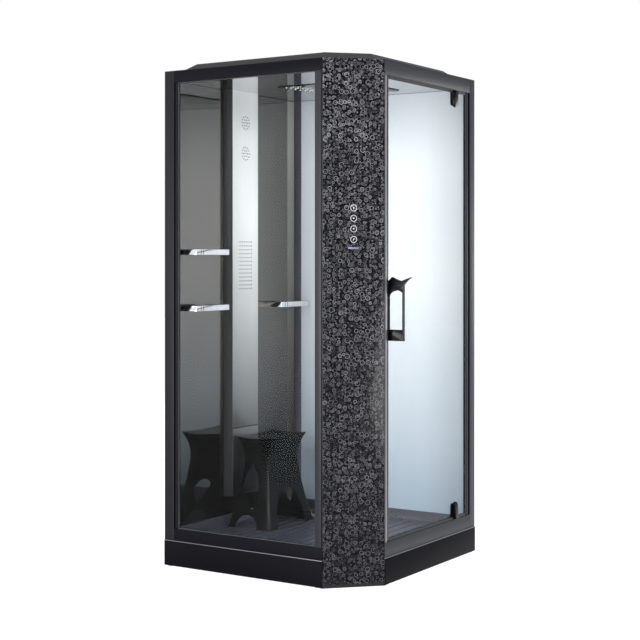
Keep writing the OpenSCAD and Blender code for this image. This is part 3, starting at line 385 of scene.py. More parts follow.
@dataclass(frozen=True)
class BrushedSteel(Finish):
    """Stainless steel brushed in one direction.

    Attributes:
        roughness: Roughness across the brushing.
        brushed: Direction of the brushing.
        metal: Share of bare metal, the rest being its milky clear coat.
        relief: Strength of the brushing's bump.
        depth: Depth of the brushing's bump.
        contrast: How far its lines depart from the colour, as a share of it.
        spread: How far its lines depart from the roughness.
        lines: Fine lines for each metre along and across the brushing.
        bands: Broad bands for each metre along and across the brushing.
        fine_share: Share of the fine lines in the tone, the rest being the bands.
        edges: Tones that stand for the darkest and the brightest line.
    """

    roughness: float = 0.3
    brushed: Axis = Axis.Z
    metal: float = 1.0
    relief: float = 0.08
    depth: float = 0.2 * MM
    contrast: float = 0.035
    spread: float = 0.07
    lines: Pair = (5.0, 1400.0)
    bands: Pair = (1.2, 22.0)
    fine_share: float = 0.6
    edges: Pair = (0.35, 0.65)

    def streaks(self, sketch: Sketch, tone: Socket, level: float) -> Socket:
        """The steel's colour between its dark and bright lines, at a level of the full tone."""
        return self.toned(sketch, sketch.spread(tone, 0.0, 1.0, *self.edges),
                          (1 - self.contrast) * level, (1 + self.contrast) * level)

    def colouring(self, sketch: Sketch, tone: Socket) -> Socket:
        """The steel's colour all over."""
        return self.streaks(sketch, tone, 1.0)

    def paint(self, sketch: Sketch) -> Socket:
        """Builds the steel: long fine lines in colour, roughness and bump."""
        lines = sketch.noise(sketch.stretched(self.brushed, self.lines), 1.0, 4.0)
        bands = sketch.noise(sketch.stretched(self.brushed, self.bands), 1.0, 2.0)
        tone = sketch.average(lines, bands, self.fine_share)
        return sketch.shade(
            Base_Color=self.colouring(sketch, tone),
            Metallic=self.metal,
            Roughness=sketch.spread(lines, self.roughness - self.spread, self.roughness + self.spread),
            Normal=sketch.bump(lines, self.relief, self.depth))


@dataclass(frozen=True)
class ColumnPlate(BrushedSteel):
    """The column's pale steel, darkened near the floor by painted shade and a painted reflection of the dark
    stool and tray, and towards one side by painted shade.

    Attributes:
        foot: Tone near the floor as a share of the tone above: painted shade and a painted reflection of the
            dark stool and tray.
        rise: Heights between which that painted darkness fades into the full tone.
        side: Tone at the side towards the fixed glass as a share of the full tone: painted shade.
        across: Places along Y between which that painted shade fades into the full tone.
    """

    metal: float = 0.6
    relief: float = 0.008
    contrast: float = 0.01
    spread: float = 0.02
    foot: float = 0.22
    rise: Pair = (0.35, 1.48)
    side: float = 0.88
    across: Pair = (-0.1, 0.05)

    def colouring(self, sketch: Sketch, tone: Socket) -> Socket:
        """The plate's colour, with painted shade by height and side."""
        place = sketch.split()
        # Painted shade and painted reflection low down, and painted shade towards the fixed glass
        rise = sketch.spread(place["Z"], 0.0, 1.0, *self.rise)
        across = sketch.spread(place["Y"], 0.0, 1.0, *self.across)
        upper = sketch.mix(across, self.streaks(sketch, tone, self.side), self.streaks(sketch, tone, 1.0))
        return sketch.mix(rise, self.streaks(sketch, tone, self.foot), upper)


@dataclass(frozen=True)
class PolishedMetal(Finish):
    """Chromed or polished metal with faint water marks.

    Attributes:
        roughness: Roughness of the polish.
        marks: Water marks for each metre.
        marked: Level of the colour at a mark.
        dulling: Least and most roughness, as factors on the roughness.
        grain: Fine scratches for each metre.
        relief: Strength and depth of the scratches' bump.
    """

    roughness: float = 0.07
    marks: float = 60.0
    marked: float = 0.96
    dulling: Pair = (0.7, 1.6)
    grain: float = 700.0
    relief: Pair = (0.02, 0.1 * MM)

    def paint(self, sketch: Sketch) -> Socket:
        """Builds the metal: an even tone with duller marks."""
        marks = sketch.noise(sketch.place(), self.marks, 5.0)
        grain = sketch.noise(sketch.place(), self.grain, 2.0)
        least, most = (self.roughness * factor for factor in self.dulling)
        return sketch.shade(
            Base_Color=self.toned(sketch, sketch.spread(marks), self.marked),
            Metallic=1.0,
            Roughness=sketch.spread(marks, least, most),
            Normal=sketch.bump(grain, *self.relief))


@dataclass(frozen=True)
class DarkMirror(Finish):
    """Tinted mirror glass: dim, sharp reflections, painted shade low down, and a painted reflection in grey
    where its coat ends before the corner trim.

    Attributes:
        low: Colour near the floor, darkened as painted shade.
        rise: Heights between which that painted shade fades out.
        coat_end: Place along Y at which the mirror coat ends.
        coat_edge: Width of the coat's soft edge.
        bare: Colour of the uncoated edge high up, a painted reflection made paler by painted light.
        bare_low: Colour of the uncoated edge near the floor, darkened as painted shade.
        bare_rise: Heights between which the uncoated edge pales from painted shade to painted light.
        marks: Drying marks for each metre.
        roughness: Roughness between the marks and on them.
        waves: Waves of the glass for each metre.
        relief: Strength and depth of the waves' bump.
    """

    low: Colour = (58, 56, 54)
    rise: Pair = (0.12, 0.75)
    coat_end: float = 0.405
    coat_edge: float = 12 * MM
    bare: Colour = (142, 142, 139)
    bare_low: Colour = (60, 60, 58)
    bare_rise: Pair = (0.5, 2.0)
    marks: float = 35.0
    roughness: Pair = (0.015, 0.05)
    waves: float = 3.0
    relief: Pair = (0.01, 2 * MM)

    def paint(self, sketch: Sketch) -> Socket:
        """Builds the mirror: a tint darkened downwards as painted shade, drying marks, and a painted
        reflection in grey where the coat ends.
        """
        place = sketch.split()
        # Painted shade: the tint darkens towards the floor
        tint = sketch.mix(sketch.spread(place["Z"], 0.0, 1.0, *self.rise),
                          linear(self.low), linear(self.colour))
        # Painted reflection on the uncoated edge, darker low down and paler high up as painted shade and
        # light
        paint = sketch.mix(sketch.spread(place["Z"], 0.0, 1.0, *self.bare_rise),
                           linear(self.bare_low), linear(self.bare))
        coated = sketch.spread(place["Y"], 1.0, 0.0, self.coat_end - self.coat_edge, self.coat_end)
        marks = sketch.noise(sketch.place(scale=LONG_MARKS), self.marks, 4.0)
        return sketch.shade(
            Base_Color=sketch.mix(coated, paint, tint),
            Metallic=coated,
            Roughness=sketch.spread(marks, *self.roughness),
            Normal=sketch.bump(sketch.noise(sketch.place(), self.waves, 1.0), *self.relief))


@dataclass(frozen=True)
class ClearPane(Finish):
    """Clear safety glass that lets the lamps through.

    Attributes:
        ior: Refraction of the glass.
        smears: Smears for each metre.
        smeared: Level of the tint on a smear.
    """

    ior: float = 1.12
    smears: float = 16.0
    smeared: float = 0.99

    def paint(self, sketch: Sketch) -> Socket:
        """Builds the glass, with a plain film in place of it for lamps and bounced light."""
        smears = sketch.noise(sketch.place(scale=LONG_SMEARS), self.smears, 4.0)
        tint = self.toned(sketch, sketch.spread(smears), self.smeared)
        glass = sketch.shade(Base_Color=tint, Roughness=0.0, Transmission_Weight=1.0, IOR=self.ior)
        film = sketch.add("BsdfTransparent", Color=linear(self.colour)).outputs["BSDF"]
        path = sketch.add("LightPath").outputs
        passed = sketch.math("MAXIMUM", path["Is Shadow Ray"], path["Is Diffuse Ray"])
        return sketch.mix_shaders(passed, glass, film)


@dataclass(frozen=True)
class PaintedGlass(Finish):
    """White glass painted on its back, with painted shade that makes it darker and cooler towards the column,
    the floor and the ceiling.

    Attributes:
        far: Colour of the deepest painted shade.
        side: Places along X between which the painted shade at the column fades out.
        side_share: Share of the painted shade at the column.
        foot: Heights between which the painted shade at the floor fades out.
        foot_share: Share of the painted shade at the floor.
        brow: Heights between which the painted shade under the ceiling grows.
        brow_share: Share of the painted shade under the ceiling.
        cloud: How far clouds change the share.
        roughness: Least and most roughness.
        shine: Specular level of the clear face.
    """

    far: Colour = (156, 173, 190)
    side: Pair = (-0.46, -0.1)
    side_share: float = 0.2
    foot: Pair = (0.1, 1.25)
    foot_share: float = 0.95
    brow: Pair = (1.7, 2.1)
    brow_share: float = 0.2
    cloud: float = 0.05
    roughness: Pair = (0.4, 0.5)
    shine: float = 0.15

    def paint(self, sketch: Sketch) -> Socket:
        """Builds the painted glass: smooth painted shade in its colour under a clear face."""
        place = sketch.split()
        # Painted shade towards the column, the floor and the ceiling
        side = sketch.spread(place["X"], self.side_share, 0.0, *self.side)
        ends = sketch.math("ADD", sketch.spread(place["Z"], self.foot_share, 0.0, *self.foot),
                           sketch.spread(place["Z"], 0.0, self.brow_share, *self.brow))
        cloud = sketch.spread(sketch.noise(sketch.place(), 2.0, 1.0), -self.cloud, self.cloud)
        share = sketch.math("ADD", sketch.math("MAXIMUM", side, ends), cloud)
        return sketch.shade(
            Base_Color=sketch.mix(share, linear(self.colour), linear(self.far)),
            Roughness=sketch.spread(sketch.noise(sketch.place(), 40.0, 3.0), *self.roughness),
            Specular_IOR_Level=self.shine)


@dataclass(frozen=True)
class GroovedAcrylic(Finish):
    """The tray's dark acrylic, speckled with paler wear.

    Attributes:
        wear: Colour of the worn specks.
        wear_share: Most of that colour in a speck.
        specks: Specks for each metre.
        worn: Speck values between which the wear grows.
        clouds: Clouds of tone for each metre.
        change: How far the tone departs from its middle.
        roughness: Least and most roughness.
        relief: Strength and depth of the specks' bump.
        shine: Specular level of the acrylic.
    """

    wear: Colour = (120, 122, 134)
    wear_share: float = 0.25
    specks: float = 1200.0
    worn: Pair = (0.55, 0.8)
    clouds: float = 7.0
    change: float = 0.1
    roughness: Pair = (0.3, 0.42)
    relief: Pair = (0.1, 0.2 * MM)
    shine: float = 0.4

    def paint(self, sketch: Sketch) -> Socket:
        """Builds the acrylic: clouded colour with worn specks."""
        specks = sketch.noise(sketch.place(), self.specks, 2.0)
        clouds = sketch.noise(sketch.place(), self.clouds)
        base = self.toned(sketch, sketch.spread(clouds), 1 - self.change, 1 + self.change)
        worn = sketch.spread(specks, 0.0, self.wear_share, *self.worn)
        return sketch.shade(
            Base_Color=sketch.mix(worn, base, linear(self.wear)),
            Roughness=sketch.spread(clouds, *self.roughness),
            Normal=sketch.bump(specks, *self.relief),
            Specular_IOR_Level=self.shine)


@dataclass(frozen=True)
class RingSize:
    """Sizes of one kind of printed ring, in mean distances between rings.

    Attributes:
        least: Smallest radius.
        most: Largest radius.
        line: Width of the line.
    """

    least: float
    most: float
    line: float


@dataclass(frozen=True)
class RingedGlass(Finish):
    """Black glass printed on its back with small scattered rings and dots.

    Attributes:
        ink: Colour of the printed rings.
        pitch: Mean distance between large rings.
        large: Sizes of a large ring.
        small: Sizes of a small ring.
        small_pitch: Mean distance between small rings as a share of the large rings'.
        small_ink: Ink of the small rings as a share of the large rings'.
        aside: Shift of the small rings' layout.
        scatter: How far the layout departs from a grid.
        undotted: Share of the rings that have no dot.
        inks: Least strength of a ring's ink, and the power that spreads the strengths.
        clouds: Least and most ink of the clouds in the print.
        fading: Ink left at the floor, as a share of the ink above.
        fading_end: Height at which the ink is full.
        roughness: Least and most roughness.
        shine: Specular level of the glass.
    """

    ink: Colour = (150, 149, 154)
    pitch: float = 22 * MM
    large: RingSize = RingSize(0.2, 0.44, 0.06)
    small: RingSize = RingSize(0.14, 0.4, 0.1)
    small_pitch: float = 0.58
    small_ink: float = 0.7
    aside: Point = (3.1, 1.7, 0.0)
    scatter: float = 0.8
    undotted: float = 0.4
    inks: Pair = (0.2, 1.6)
    clouds: Pair = (0.55, 1.0)
    fading: float = 0.45
    fading_end: float = 1.8
    roughness: Pair = (0.1, 0.18)
    shine: float = 0.08

    def rings(self, sketch: Sketch, where: Socket, pitch: float, size: RingSize) -> Socket:
        """Scatters rings, most with a dot in the middle.

        Args:
            sketch: The material being built.
            where: Flat coordinates in metres.
            pitch: Mean distance between rings.
            size: Sizes of the rings.

        Returns:
            Ink from 0 to 1.
        """
        cells = sketch.add("TexVoronoi", {"voronoi_dimensions": "2D"}, Vector=where, Scale=1 / pitch,
                           Randomness=self.scatter).outputs
        lot = sketch.add("SeparateColor", Color=cells["Color"]).outputs
        radius = sketch.spread(lot["Red"], size.least, size.most, 0.0, 1.0)
        off = sketch.math("ABSOLUTE", sketch.math("SUBTRACT", cells["Distance"], radius))
        ring = sketch.spread(off, 1.0, 0.0, size.line * 0.5, size.line)
        dot = sketch.spread(cells["Distance"], 1.0, 0.0, size.line * 0.6, size.line * 1.3)
        dotted = sketch.math("MULTIPLY", dot, sketch.math("GREATER_THAN", lot["Green"], self.undotted))
        least, power = self.inks
        strength = sketch.math("POWER", sketch.spread(lot["Blue"], least, 1.0, 0.0, 1.0), power)
        return sketch.math("MULTIPLY", sketch.math("MAXIMUM", ring, dotted), strength)

    def paint(self, sketch: Sketch) -> Socket:
        """Builds the printed glass: two sizes of rings over black."""
        turned = sketch.split(turn=CORNER_TURN)
        flat = sketch.add("CombineXYZ", X=turned["X"], Y=turned["Z"]).outputs["Vector"]
        large = self.rings(sketch, flat, self.pitch, self.large)
        aside = sketch.vector("ADD", flat, self.aside)
        small = self.rings(sketch, aside, self.pitch * self.small_pitch, self.small)
        ink = sketch.math("MAXIMUM", large, sketch.math("MULTIPLY", small, self.small_ink))
        clouds = sketch.spread(sketch.noise(sketch.place(), 9.0, 2.0), *self.clouds)
        rise = sketch.spread(turned["Z"], self.fading, 1.0, 0.0, self.fading_end)
        share = sketch.math("MULTIPLY", sketch.math("MULTIPLY", ink, clouds), rise)
        return sketch.shade(
            Base_Color=sketch.mix(share, linear(self.colour), linear(self.ink)),
            Roughness=sketch.spread(sketch.noise(sketch.place(), 50.0), *self.roughness),
            Specular_IOR_Level=self.shine)


@dataclass(frozen=True)
class LitPrint(Finish):
    """A touch mark or display that glows faintly through the panel.

    Attributes:
        glow: Strength of the light behind the print.
        fading: How much of the light is lost from one end to the other.
        half_width: Distance of the ends of that fading from the panel's middle.
        dither: Least and most light of the dither.
        dots: Dots of the dither for each metre.
        roughness: Roughness of the print.
    """

    glow: float = 0.25
    fading: float = 0.0
    half_width: float = 20 * MM
    dither: Pair = (0.9, 1.0)
    dots: float = 2500.0
    roughness: float = 0.4

    def paint(self, sketch: Sketch) -> Socket:
        """Builds the print: a fine dither, with light behind it that may fade to one side."""
        across = sketch.split(turn=CORNER_TURN)["X"]
        fade = sketch.spread(across, 1.0, 1.0 - self.fading, -self.half_width, self.half_width)
        dither = sketch.spread(sketch.noise(sketch.place(), self.dots), *self.dither)
        colour = sketch.mix(sketch.math("MULTIPLY", dither, fade), UNLIT, linear(self.colour))
        return sketch.shade(Base_Color=colour, Roughness=self.roughness, Emission_Color=colour,
                            Emission_Strength=self.glow)


@dataclass(frozen=True)
class SoftRubber(Finish):
    """Black rubber or silicone with a fine dusty grain.

    Attributes:
        roughness: Least and most roughness.
        flow: Flow lines for each metre along X, Y and Z.
        grain: Grains for each metre.
        change: How far the tone departs from its middle.
        relief: Strength and depth of the grain's bump.
        shine: Specular level of the skin.
    """

    roughness: Pair = (0.55, 0.75)
    flow: Point = (220, 220, 12)
    grain: float = 1800.0
    change: float = 0.1
    relief: Pair = (0.15, 0.1 * MM)
    shine: float = 0.25

    def paint(self, sketch: Sketch) -> Socket:
        """Builds the rubber: a dull skin with flow lines."""
        flow = sketch.noise(sketch.place(scale=self.flow), 1.0)
        grain = sketch.noise(sketch.place(), self.grain, 2.0)
        return sketch.shade(
            Base_Color=self.toned(sketch, sketch.spread(flow), 1 - self.change, 1 + self.change),
            Roughness=sketch.spread(grain, *self.roughness),
            Normal=sketch.bump(grain, *self.relief),
            Specular_IOR_Level=self.shine)


@dataclass(frozen=True)
class CastBrass(Finish):
    """Brass fittings with a cast skin.

    Attributes:
        skin: Grains of the cast skin for each metre.
        tarnish: Clouds of tarnish for each metre.
        tarnished: Level of the colour under tarnish.
        roughness: Least and most roughness.
        relief: Strength and depth of the skin's bump.
    """

    skin: float = 420.0
    tarnish: float = 30.0
    tarnished: float = 0.75
    roughness: Pair = (0.28, 0.5)
    relief: Pair = (0.2, 0.4 * MM)

    def paint(self, sketch: Sketch) -> Socket:
        """Builds the brass: warm tone, tarnish and cast bump."""
        skin = sketch.noise(sketch.place(), self.skin, 4.0)
        tarnish = sketch.noise(sketch.place(), self.tarnish, 4.0)
        return sketch.shade(
            Base_Color=self.toned(sketch, sketch.spread(tarnish), self.tarnished),
            Metallic=1.0,
            Roughness=sketch.spread(tarnish, *self.roughness),
            Normal=sketch.bump(skin, *self.relief))


@dataclass(frozen=True)
class CircuitLaminate(Finish):
    """Green circuit board with tracks under its lacquer.

    Attributes:
        track: Colour of the copper tracks.
        track_share: Most of that colour in a track.
        blocks: Blocks of tracks for each metre.
        roughness: Least and most roughness.
    """

    track: Colour = (38, 118, 62)
    track_share: float = 0.8
    blocks: float = 160.0
    roughness: Pair = (0.25, 0.45)

    def paint(self, sketch: Sketch) -> Socket:
        """Builds the laminate: blocks of tracks over green."""
        turned = sketch.place(turn=CORNER_TURN)
        blocks = sketch.add("TexBrick", Vector=turned, Scale=self.blocks).outputs["Fac"]
        share = sketch.math("MULTIPLY", blocks, self.track_share)
        return sketch.shade(
            Base_Color=sketch.mix(share, linear(self.colour), linear(self.track)),
            Roughness=sketch.spread(sketch.noise(turned, 300.0), *self.roughness))


FINISHES: dict[Slot, Finish] = {
    finish.slot: finish for finish in (
        CoatedProfile(Slot.STEEL_FRAME, (52, 52, 56), roughness=0.5, shine=0.3),
        CoatedProfile(Slot.DARK_PROFILE, (12, 12, 20), shine=0.17),
        CoatedProfile(Slot.GREY_PROFILE, (25, 27, 34), shine=0.25),
        PolishedMetal(Slot.BRIGHT_METAL, (236, 236, 238)),
        ColumnPlate(Slot.BRUSHED_PLATE, (250, 248, 246)),
        MouldedPlastic(Slot.BLACK_PLASTIC, (8, 8, 11), roughness=0.17, shine=0.13),
        MouldedPlastic(Slot.GREY_PLASTIC, (60, 60, 62), roughness=0.4),
        GroovedAcrylic(Slot.TRAY_ACRYLIC, (62, 63, 74)),
        CoatedProfile(Slot.SKIRT, (7, 7, 12), roughness=0.5, shine=0.05, drawn=Axis.X),
        ClearPane(Slot.CLEAR_GLASS, (250, 252, 252)),
        DarkMirror(Slot.DARK_MIRROR, (122, 119, 115)),
        PaintedGlass(Slot.LIGHT_GLASS, (229, 231, 236)),
        SoftRubber(Slot.RUBBER, (16, 17, 19)),
        SoftRubber(Slot.CLEAR_SEAL, (20, 22, 26), roughness=(0.3, 0.45)),
        CastBrass(Slot.BRASS, (214, 180, 108)),
        CoatedProfile(Slot.ROOF_PLASTIC, (22, 22, 28), roughness=0.55, shine=0.15, drawn=Axis.Y),
        PolishedMetal(Slot.CEILING, (196, 196, 198), roughness=0.03),
        RingedGlass(Slot.PATTERNED_GLASS, (9, 9, 13)),
        LitPrint(Slot.PRINT, (206, 208, 212), glow=0.15),
        CircuitLaminate(Slot.BOARD, (22, 84, 44)),
        MouldedPlastic(Slot.STOOL_PLASTIC, (7, 8, 8), roughness=0.2, shine=0.1, grain=400.0),
    )
}
SATIN_TRIM = BrushedSteel(Slot.BRIGHT_METAL, (120, 120, 124), roughness=0.4, brushed=Axis.X)
DARK_RAIN_PLATE = PolishedMetal(Slot.CEILING, (70, 70, 72), roughness=0.05)
SILVER_JAMB = CoatedProfile(Slot.DARK_PROFILE, (88, 89, 93), roughness=0.32, shine=0.8)
COLUMN_SIDE = CoatedProfile(Slot.DARK_PROFILE, (42, 42, 43), shine=0.2)
CORNER_TRIM = CoatedProfile(Slot.DARK_PROFILE, (82, 80, 92), shine=0.25)
DARK_RAIL = CoatedProfile(Slot.DARK_PROFILE, (11, 11, 18), shine=0.05)
CHANNEL = CoatedProfile(Slot.DARK_PROFILE, (9, 9, 13), shine=0.12)
GASKET = SoftRubber(Slot.RUBBER, (78, 78, 82))
JET_FLANGE = BrushedSteel(Slot.GREY_PLASTIC, (132, 132, 132), roughness=0.35)
NOZZLE_FLANGE = BrushedSteel(Slot.GREY_PLASTIC, (206, 206, 206), roughness=0.35)
NOZZLE_TIP = SoftRubber(Slot.GREY_PLASTIC, (58, 60, 64))
SCREW_STEEL = PolishedMetal(Slot.BRIGHT_METAL, (190, 190, 192), roughness=0.18)
CLAMP_FACE = MouldedPlastic(Slot.BLACK_PLASTIC, (10, 10, 13), roughness=0.17, shine=0.13)
DISPLAY_LIGHT = LitPrint(Slot.PRINT, (142, 142, 186), glow=0.12, fading=0.55)


def linked(name: str, data: bpy.types.ID) -> bpy.types.Object:
    """Makes an object in the scene from a mesh, a lamp or a camera."""
    thing = bpy.data.objects.new(name, data)
    bpy.context.scene.collection.objects.link(thing)
    return thing


@dataclass(frozen=True)
class Lamp:
    """A soft square lamp.

    Attributes:
        name: Its name.
        place: Where it stands.
        size: Length of its sides.
        power: Its power in watts.
    """

    name: str
    place: Point
    size: float
    power: float

    def build(self, target: Point) -> None:
        """Puts the lamp in the scene, turned towards a target."""
        data = bpy.data.lights.new(self.name, "AREA")
        data.energy = self.power
        data.size = self.size
        lamp = linked(self.name, data)
        lamp.location = self.place
        lamp.rotation_mode = "QUATERNION"
        lamp.rotation_quaternion = (Vector(target) - Vector(self.place)).to_track_quat("-Z", "Y")


@dataclass
class Studio:
    """The white studio: floor, lamps, sky and camera.

    Attributes:
        eye: The camera's place.
        turn: The camera's heading in degrees.
        lens: Focal length in millimetres.
        sensor: Width of the camera's sensor in millimetres.
        shift: Vertical shift, from the photograph's framing.
        sky: Strength of the sky's light on surfaces.
        floor_size: Length of the floor's sides.
        floor_tones: Tone of the floor for bounced light, and under its glow.
        floor_glow: Strength of the glow that makes the floor read as white.
        target: The point that the lamps look at.
        lamps: The lamps.
    """

    eye: Point = (3.3809, -5.2775, 1.3306)
    turn: float = 32.78
    lens: float = 79.0
    sensor: float = 36.0
    shift: float = -0.0942
    sky: float = 0.55
    floor_size: float = 40.0
    floor_tones: Pair = (0.8, 0.3)
    floor_glow: float = 0.9
    target: Point = (0.0, 0.0, 1.1)
    lamps: tuple[Lamp, ...] = (
        Lamp("lamp_door_side", (6.5, -0.6, 1.7), 3.0, 345.0),
        Lamp("lamp_front", (-1.2, -7.0, 2.4), 3.5, 480.0),
        Lamp("lamp_over", (0.5, -0.5, 6.5), 4.0, 130.0),
        Lamp("lamp_back", (-4.5, 5.0, 3.5), 3.5, 130.0),
        Lamp("lamp_far_side", (3.1, 7.6, 1.75), 1.6, 60.0),
        Lamp("lamp_left", (-6.3, -6.5, 1.75), 1.6, 60.0),
    )

    def build(self) -> None:
        """Builds the whole studio."""
        bpy.context.scene.view_settings.view_transform = "Standard"
        self.world()
        self.floor()
        for lamp in self.lamps:
            lamp.build(self.target)
        self.camera()

    def seen(self, sketch: Sketch) -> Socket:
        """1 for rays from the camera, from gloss and through glass."""
        path = sketch.add("LightPath").outputs
        gloss = sketch.math("MAXIMUM", path["Is Glossy Ray"], path["Is Transmission Ray"])
        return sketch.math("MAXIMUM", path["Is Camera Ray"], gloss)

    def world(self) -> None:
        """A sky that is white to the eye and gives a plain soft light."""
        sketch = Sketch(bpy.data.worlds.new("studio_sky"))
        soft = sketch.add("Background", Color=WHITE, Strength=self.sky).outputs[0]
        white = sketch.add("Background", Color=WHITE, Strength=1.0).outputs[0]
        bpy.context.scene.world = sketch.finish(sketch.mix_shaders(self.seen(sketch), soft, white))

    def floor(self) -> None:
        """A pale floor that reads as white and keeps the cabin's shadow."""
        mesh = bpy.data.meshes.new("studio_floor")
        half = self.floor_size / 2
        corners = [(-half, -half, 0), (half, -half, 0), (half, half, 0), (-half, half, 0)]
        mesh.from_pydata(corners, [], [(0, 1, 2, 3)])
        floor = linked("studio_floor", mesh)
        sketch = Sketch(bpy.data.materials.new("studio_floor"))
        plain, dim = (sketch.add("BsdfDiffuse", Color=(tone, tone, tone, 1.0)).outputs[0]
                      for tone in self.floor_tones)
        glow = sketch.add("Emission", Color=WHITE, Strength=self.floor_glow).outputs[0]
        lit = sketch.add("AddShader")
        for target, shader in zip(lit.inputs, (dim, glow)):
            sketch.feed(target, shader)
        mesh.materials.append(sketch.finish(sketch.mix_shaders(self.seen(sketch), plain, lit.outputs[0])))

    def camera(self) -> None:
        """The camera at the photograph's place and angle."""
        data = bpy.data.cameras.new("camera")
        data.sensor_width = self.sensor
        data.lens = self.lens
        data.shift_y = self.shift
        camera = linked("camera", data)
        camera.location = self.eye
        camera.rotation_euler = (math.pi / 2, 0.0, math.radians(self.turn))
        bpy.context.scene.camera = camera


def seated(place: Point, normal: Point, along: Point) -> Matrix:
    """Matrix that puts a small form on a face.

    Args:
        place: Where the form's own origin goes.
        normal: Direction that its Z takes.
        along: Direction that its X takes.

    Returns:
        The placing matrix.
    """
    up, ahead = Vector(normal).normalized(), Vector(along).normalized()
    return Matrix.Translation(place) @ Matrix((ahead, up.cross(ahead), up)).transposed().to_4x4()


def as_mesh(form: bmesh.types.BMesh, name: str) -> bpy.types.Mesh:
    """Turns a worked form into a mesh and frees it."""
    mesh = bpy.data.meshes.new(name)
    form.to_mesh(mesh)
    form.free()
    return mesh


def lathe(name: str, profile: Sequence[Pair], sides: int) -> bpy.types.Mesh:
    """Turns an outline about Z.

    Args:
        name: Name of the mesh.
        profile: Radius and height of each ring from the bottom up; a radius of 0 closes it.
        sides: Sides of each ring.

    Returns:
        The turned mesh.
    """
    form = bmesh.new()
    rings = []
    for radius, height in profile:
        turns = [2 * math.pi * k / sides for k in range(sides if radius else 1)]
        rings.append([form.verts.new((radius * math.cos(a), radius * math.sin(a), height)) for a in turns])
    for lower, upper in zip(rings, rings[1:]):
        for k in range(sides):
            corners = (lower[k % len(lower)], lower[(k + 1) % len(lower)],
                       upper[(k + 1) % len(upper)], upper[k % len(upper)])
            corners = tuple(dict.fromkeys(corners))
            if len(corners) > 2:
                form.faces.new(corners)
    return as_mesh(form, name)


def disc(name: str, radius: float, height: float, sides: int) -> bpy.types.Mesh:
    """A flat disc on the XY plane."""
    return lathe(name, ((0, 0), (radius, 0), (radius, height), (0, height)), sides)


def prism(name: str, outline: Sequence[Pair], depth: float, place: Matrix) -> bpy.types.Mesh:
    """Extrudes a flat outline along its own Z.

    Args:
        name: Name of the mesh.
        outline: Points of the outline, counterclockwise.
        depth: Length of the extrusion.
        place: Matrix that puts the prism in the cabin's frame.

    Returns:
        The closed prism.
    """
    form = bmesh.new()
    lower = [form.verts.new((x, y, 0.0)) for x, y in outline]
    upper = [form.verts.new((x, y, depth)) for x, y in outline]
    form.faces.new(lower[::-1])
    form.faces.new(upper)
    for k in range(len(outline)):
        after = (k + 1) % len(outline)
        form.faces.new((lower[k], lower[after], upper[after], upper[k]))
    bmesh.ops.recalc_face_normals(form, faces=form.faces)
    form.transform(place)
    return as_mesh(form, name)


def joined(name: str, meshes: Iterable[bpy.types.Mesh]) -> bpy.types.Mesh:
    """Joins several meshes into one."""
    form = bmesh.new()
    for mesh in meshes:
        form.from_mesh(mesh)
    return as_mesh(form, name)


@lru_cache(maxsize=None)
def repeat_tree(pattern: Pattern) -> bpy.types.NodeTree:
    """Builds the node tree that sets copies of a form on a pattern.

    Args:
        pattern: How the copies are laid out.

    Returns:
        A tree with the inputs Form, Finish, Count, Rows, Span and Depth. Span is a grid's or a
        line's overall length and a ring's radius; Rows and Depth are a grid's second direction.
    """
    tree = bpy.data.node_groups.new(f"repeat_{pattern.name.lower()}", "GeometryNodeTree")
    tree.interface.new_socket("Geometry", in_out="OUTPUT", socket_type="NodeSocketGeometry")
    for name, kind in (("Form", "Object"), ("Finish", "Material"), ("Count", "Int"), ("Rows", "Int"),
                       ("Span", "Float"), ("Depth", "Float")):
        tree.interface.new_socket(name, in_out="INPUT", socket_type=f"NodeSocket{kind}")

    def add(kind: str, **links: Socket) -> bpy.types.Node:
        """Adds a node and links sockets to its inputs by name."""
        node = tree.nodes.new(kind)
        for key, socket in links.items():
            tree.links.new(socket, node.inputs[key.replace("_", " ")])
        return node

    given = tree.nodes.new("NodeGroupInput").outputs
    places = add(f"GeometryNode{pattern.value}")
    stand = add("GeometryNodeInstanceOnPoints", Points=places.outputs["Mesh"])
    if pattern is Pattern.GRID:
        sizes = {"Size X": "Span", "Size Y": "Depth", "Vertices X": "Count", "Vertices Y": "Rows"}
        for name, source in sizes.items():
            tree.links.new(given[source], places.inputs[name])
    elif pattern is Pattern.RING:
        tree.links.new(given["Count"], places.inputs["Vertices"])
        tree.links.new(given["Span"], places.inputs["Radius"])
        step = add("ShaderNodeMath")
        step.operation = "DIVIDE"
        step.inputs[0].default_value = 2 * math.pi
        tree.links.new(given["Count"], step.inputs[1])
        turn = add("ShaderNodeMath")
        turn.operation = "MULTIPLY"
        tree.links.new(add("GeometryNodeInputIndex").outputs[0], turn.inputs[0])
        tree.links.new(step.outputs[0], turn.inputs[1])
        tree.links.new(add("ShaderNodeCombineXYZ", Z=turn.outputs[0]).outputs[0], stand.inputs["Rotation"])
    else:
        places.mode = "END_POINTS"
        tree.links.new(given["Count"], places.inputs["Count"])
        tree.links.new(add("ShaderNodeCombineXYZ", X=given["Span"]).outputs[0], places.inputs["Offset"])
    form = add("GeometryNodeObjectInfo", Object=given["Form"])
    tree.links.new(form.outputs["Geometry"], stand.inputs["Instance"])
    real = add("GeometryNodeRealizeInstances", Geometry=stand.outputs["Instances"])
    dressed = add("GeometryNodeSetMaterial", Geometry=real.outputs["Geometry"], Material=given["Finish"])
    add("NodeGroupOutput", Geometry=dressed.outputs["Geometry"])
    return tree


def evaluated(carrier: bpy.types.Object) -> bpy.types.Mesh:
    """Takes the mesh that an object's modifiers make, and removes the object."""
    graph = bpy.context.evaluated_depsgraph_get()
    mesh = bpy.data.meshes.new_from_object(carrier.evaluated_get(graph))
    carrier.modifiers.clear()
    bpy.data.objects.remove(carrier)
    return mesh


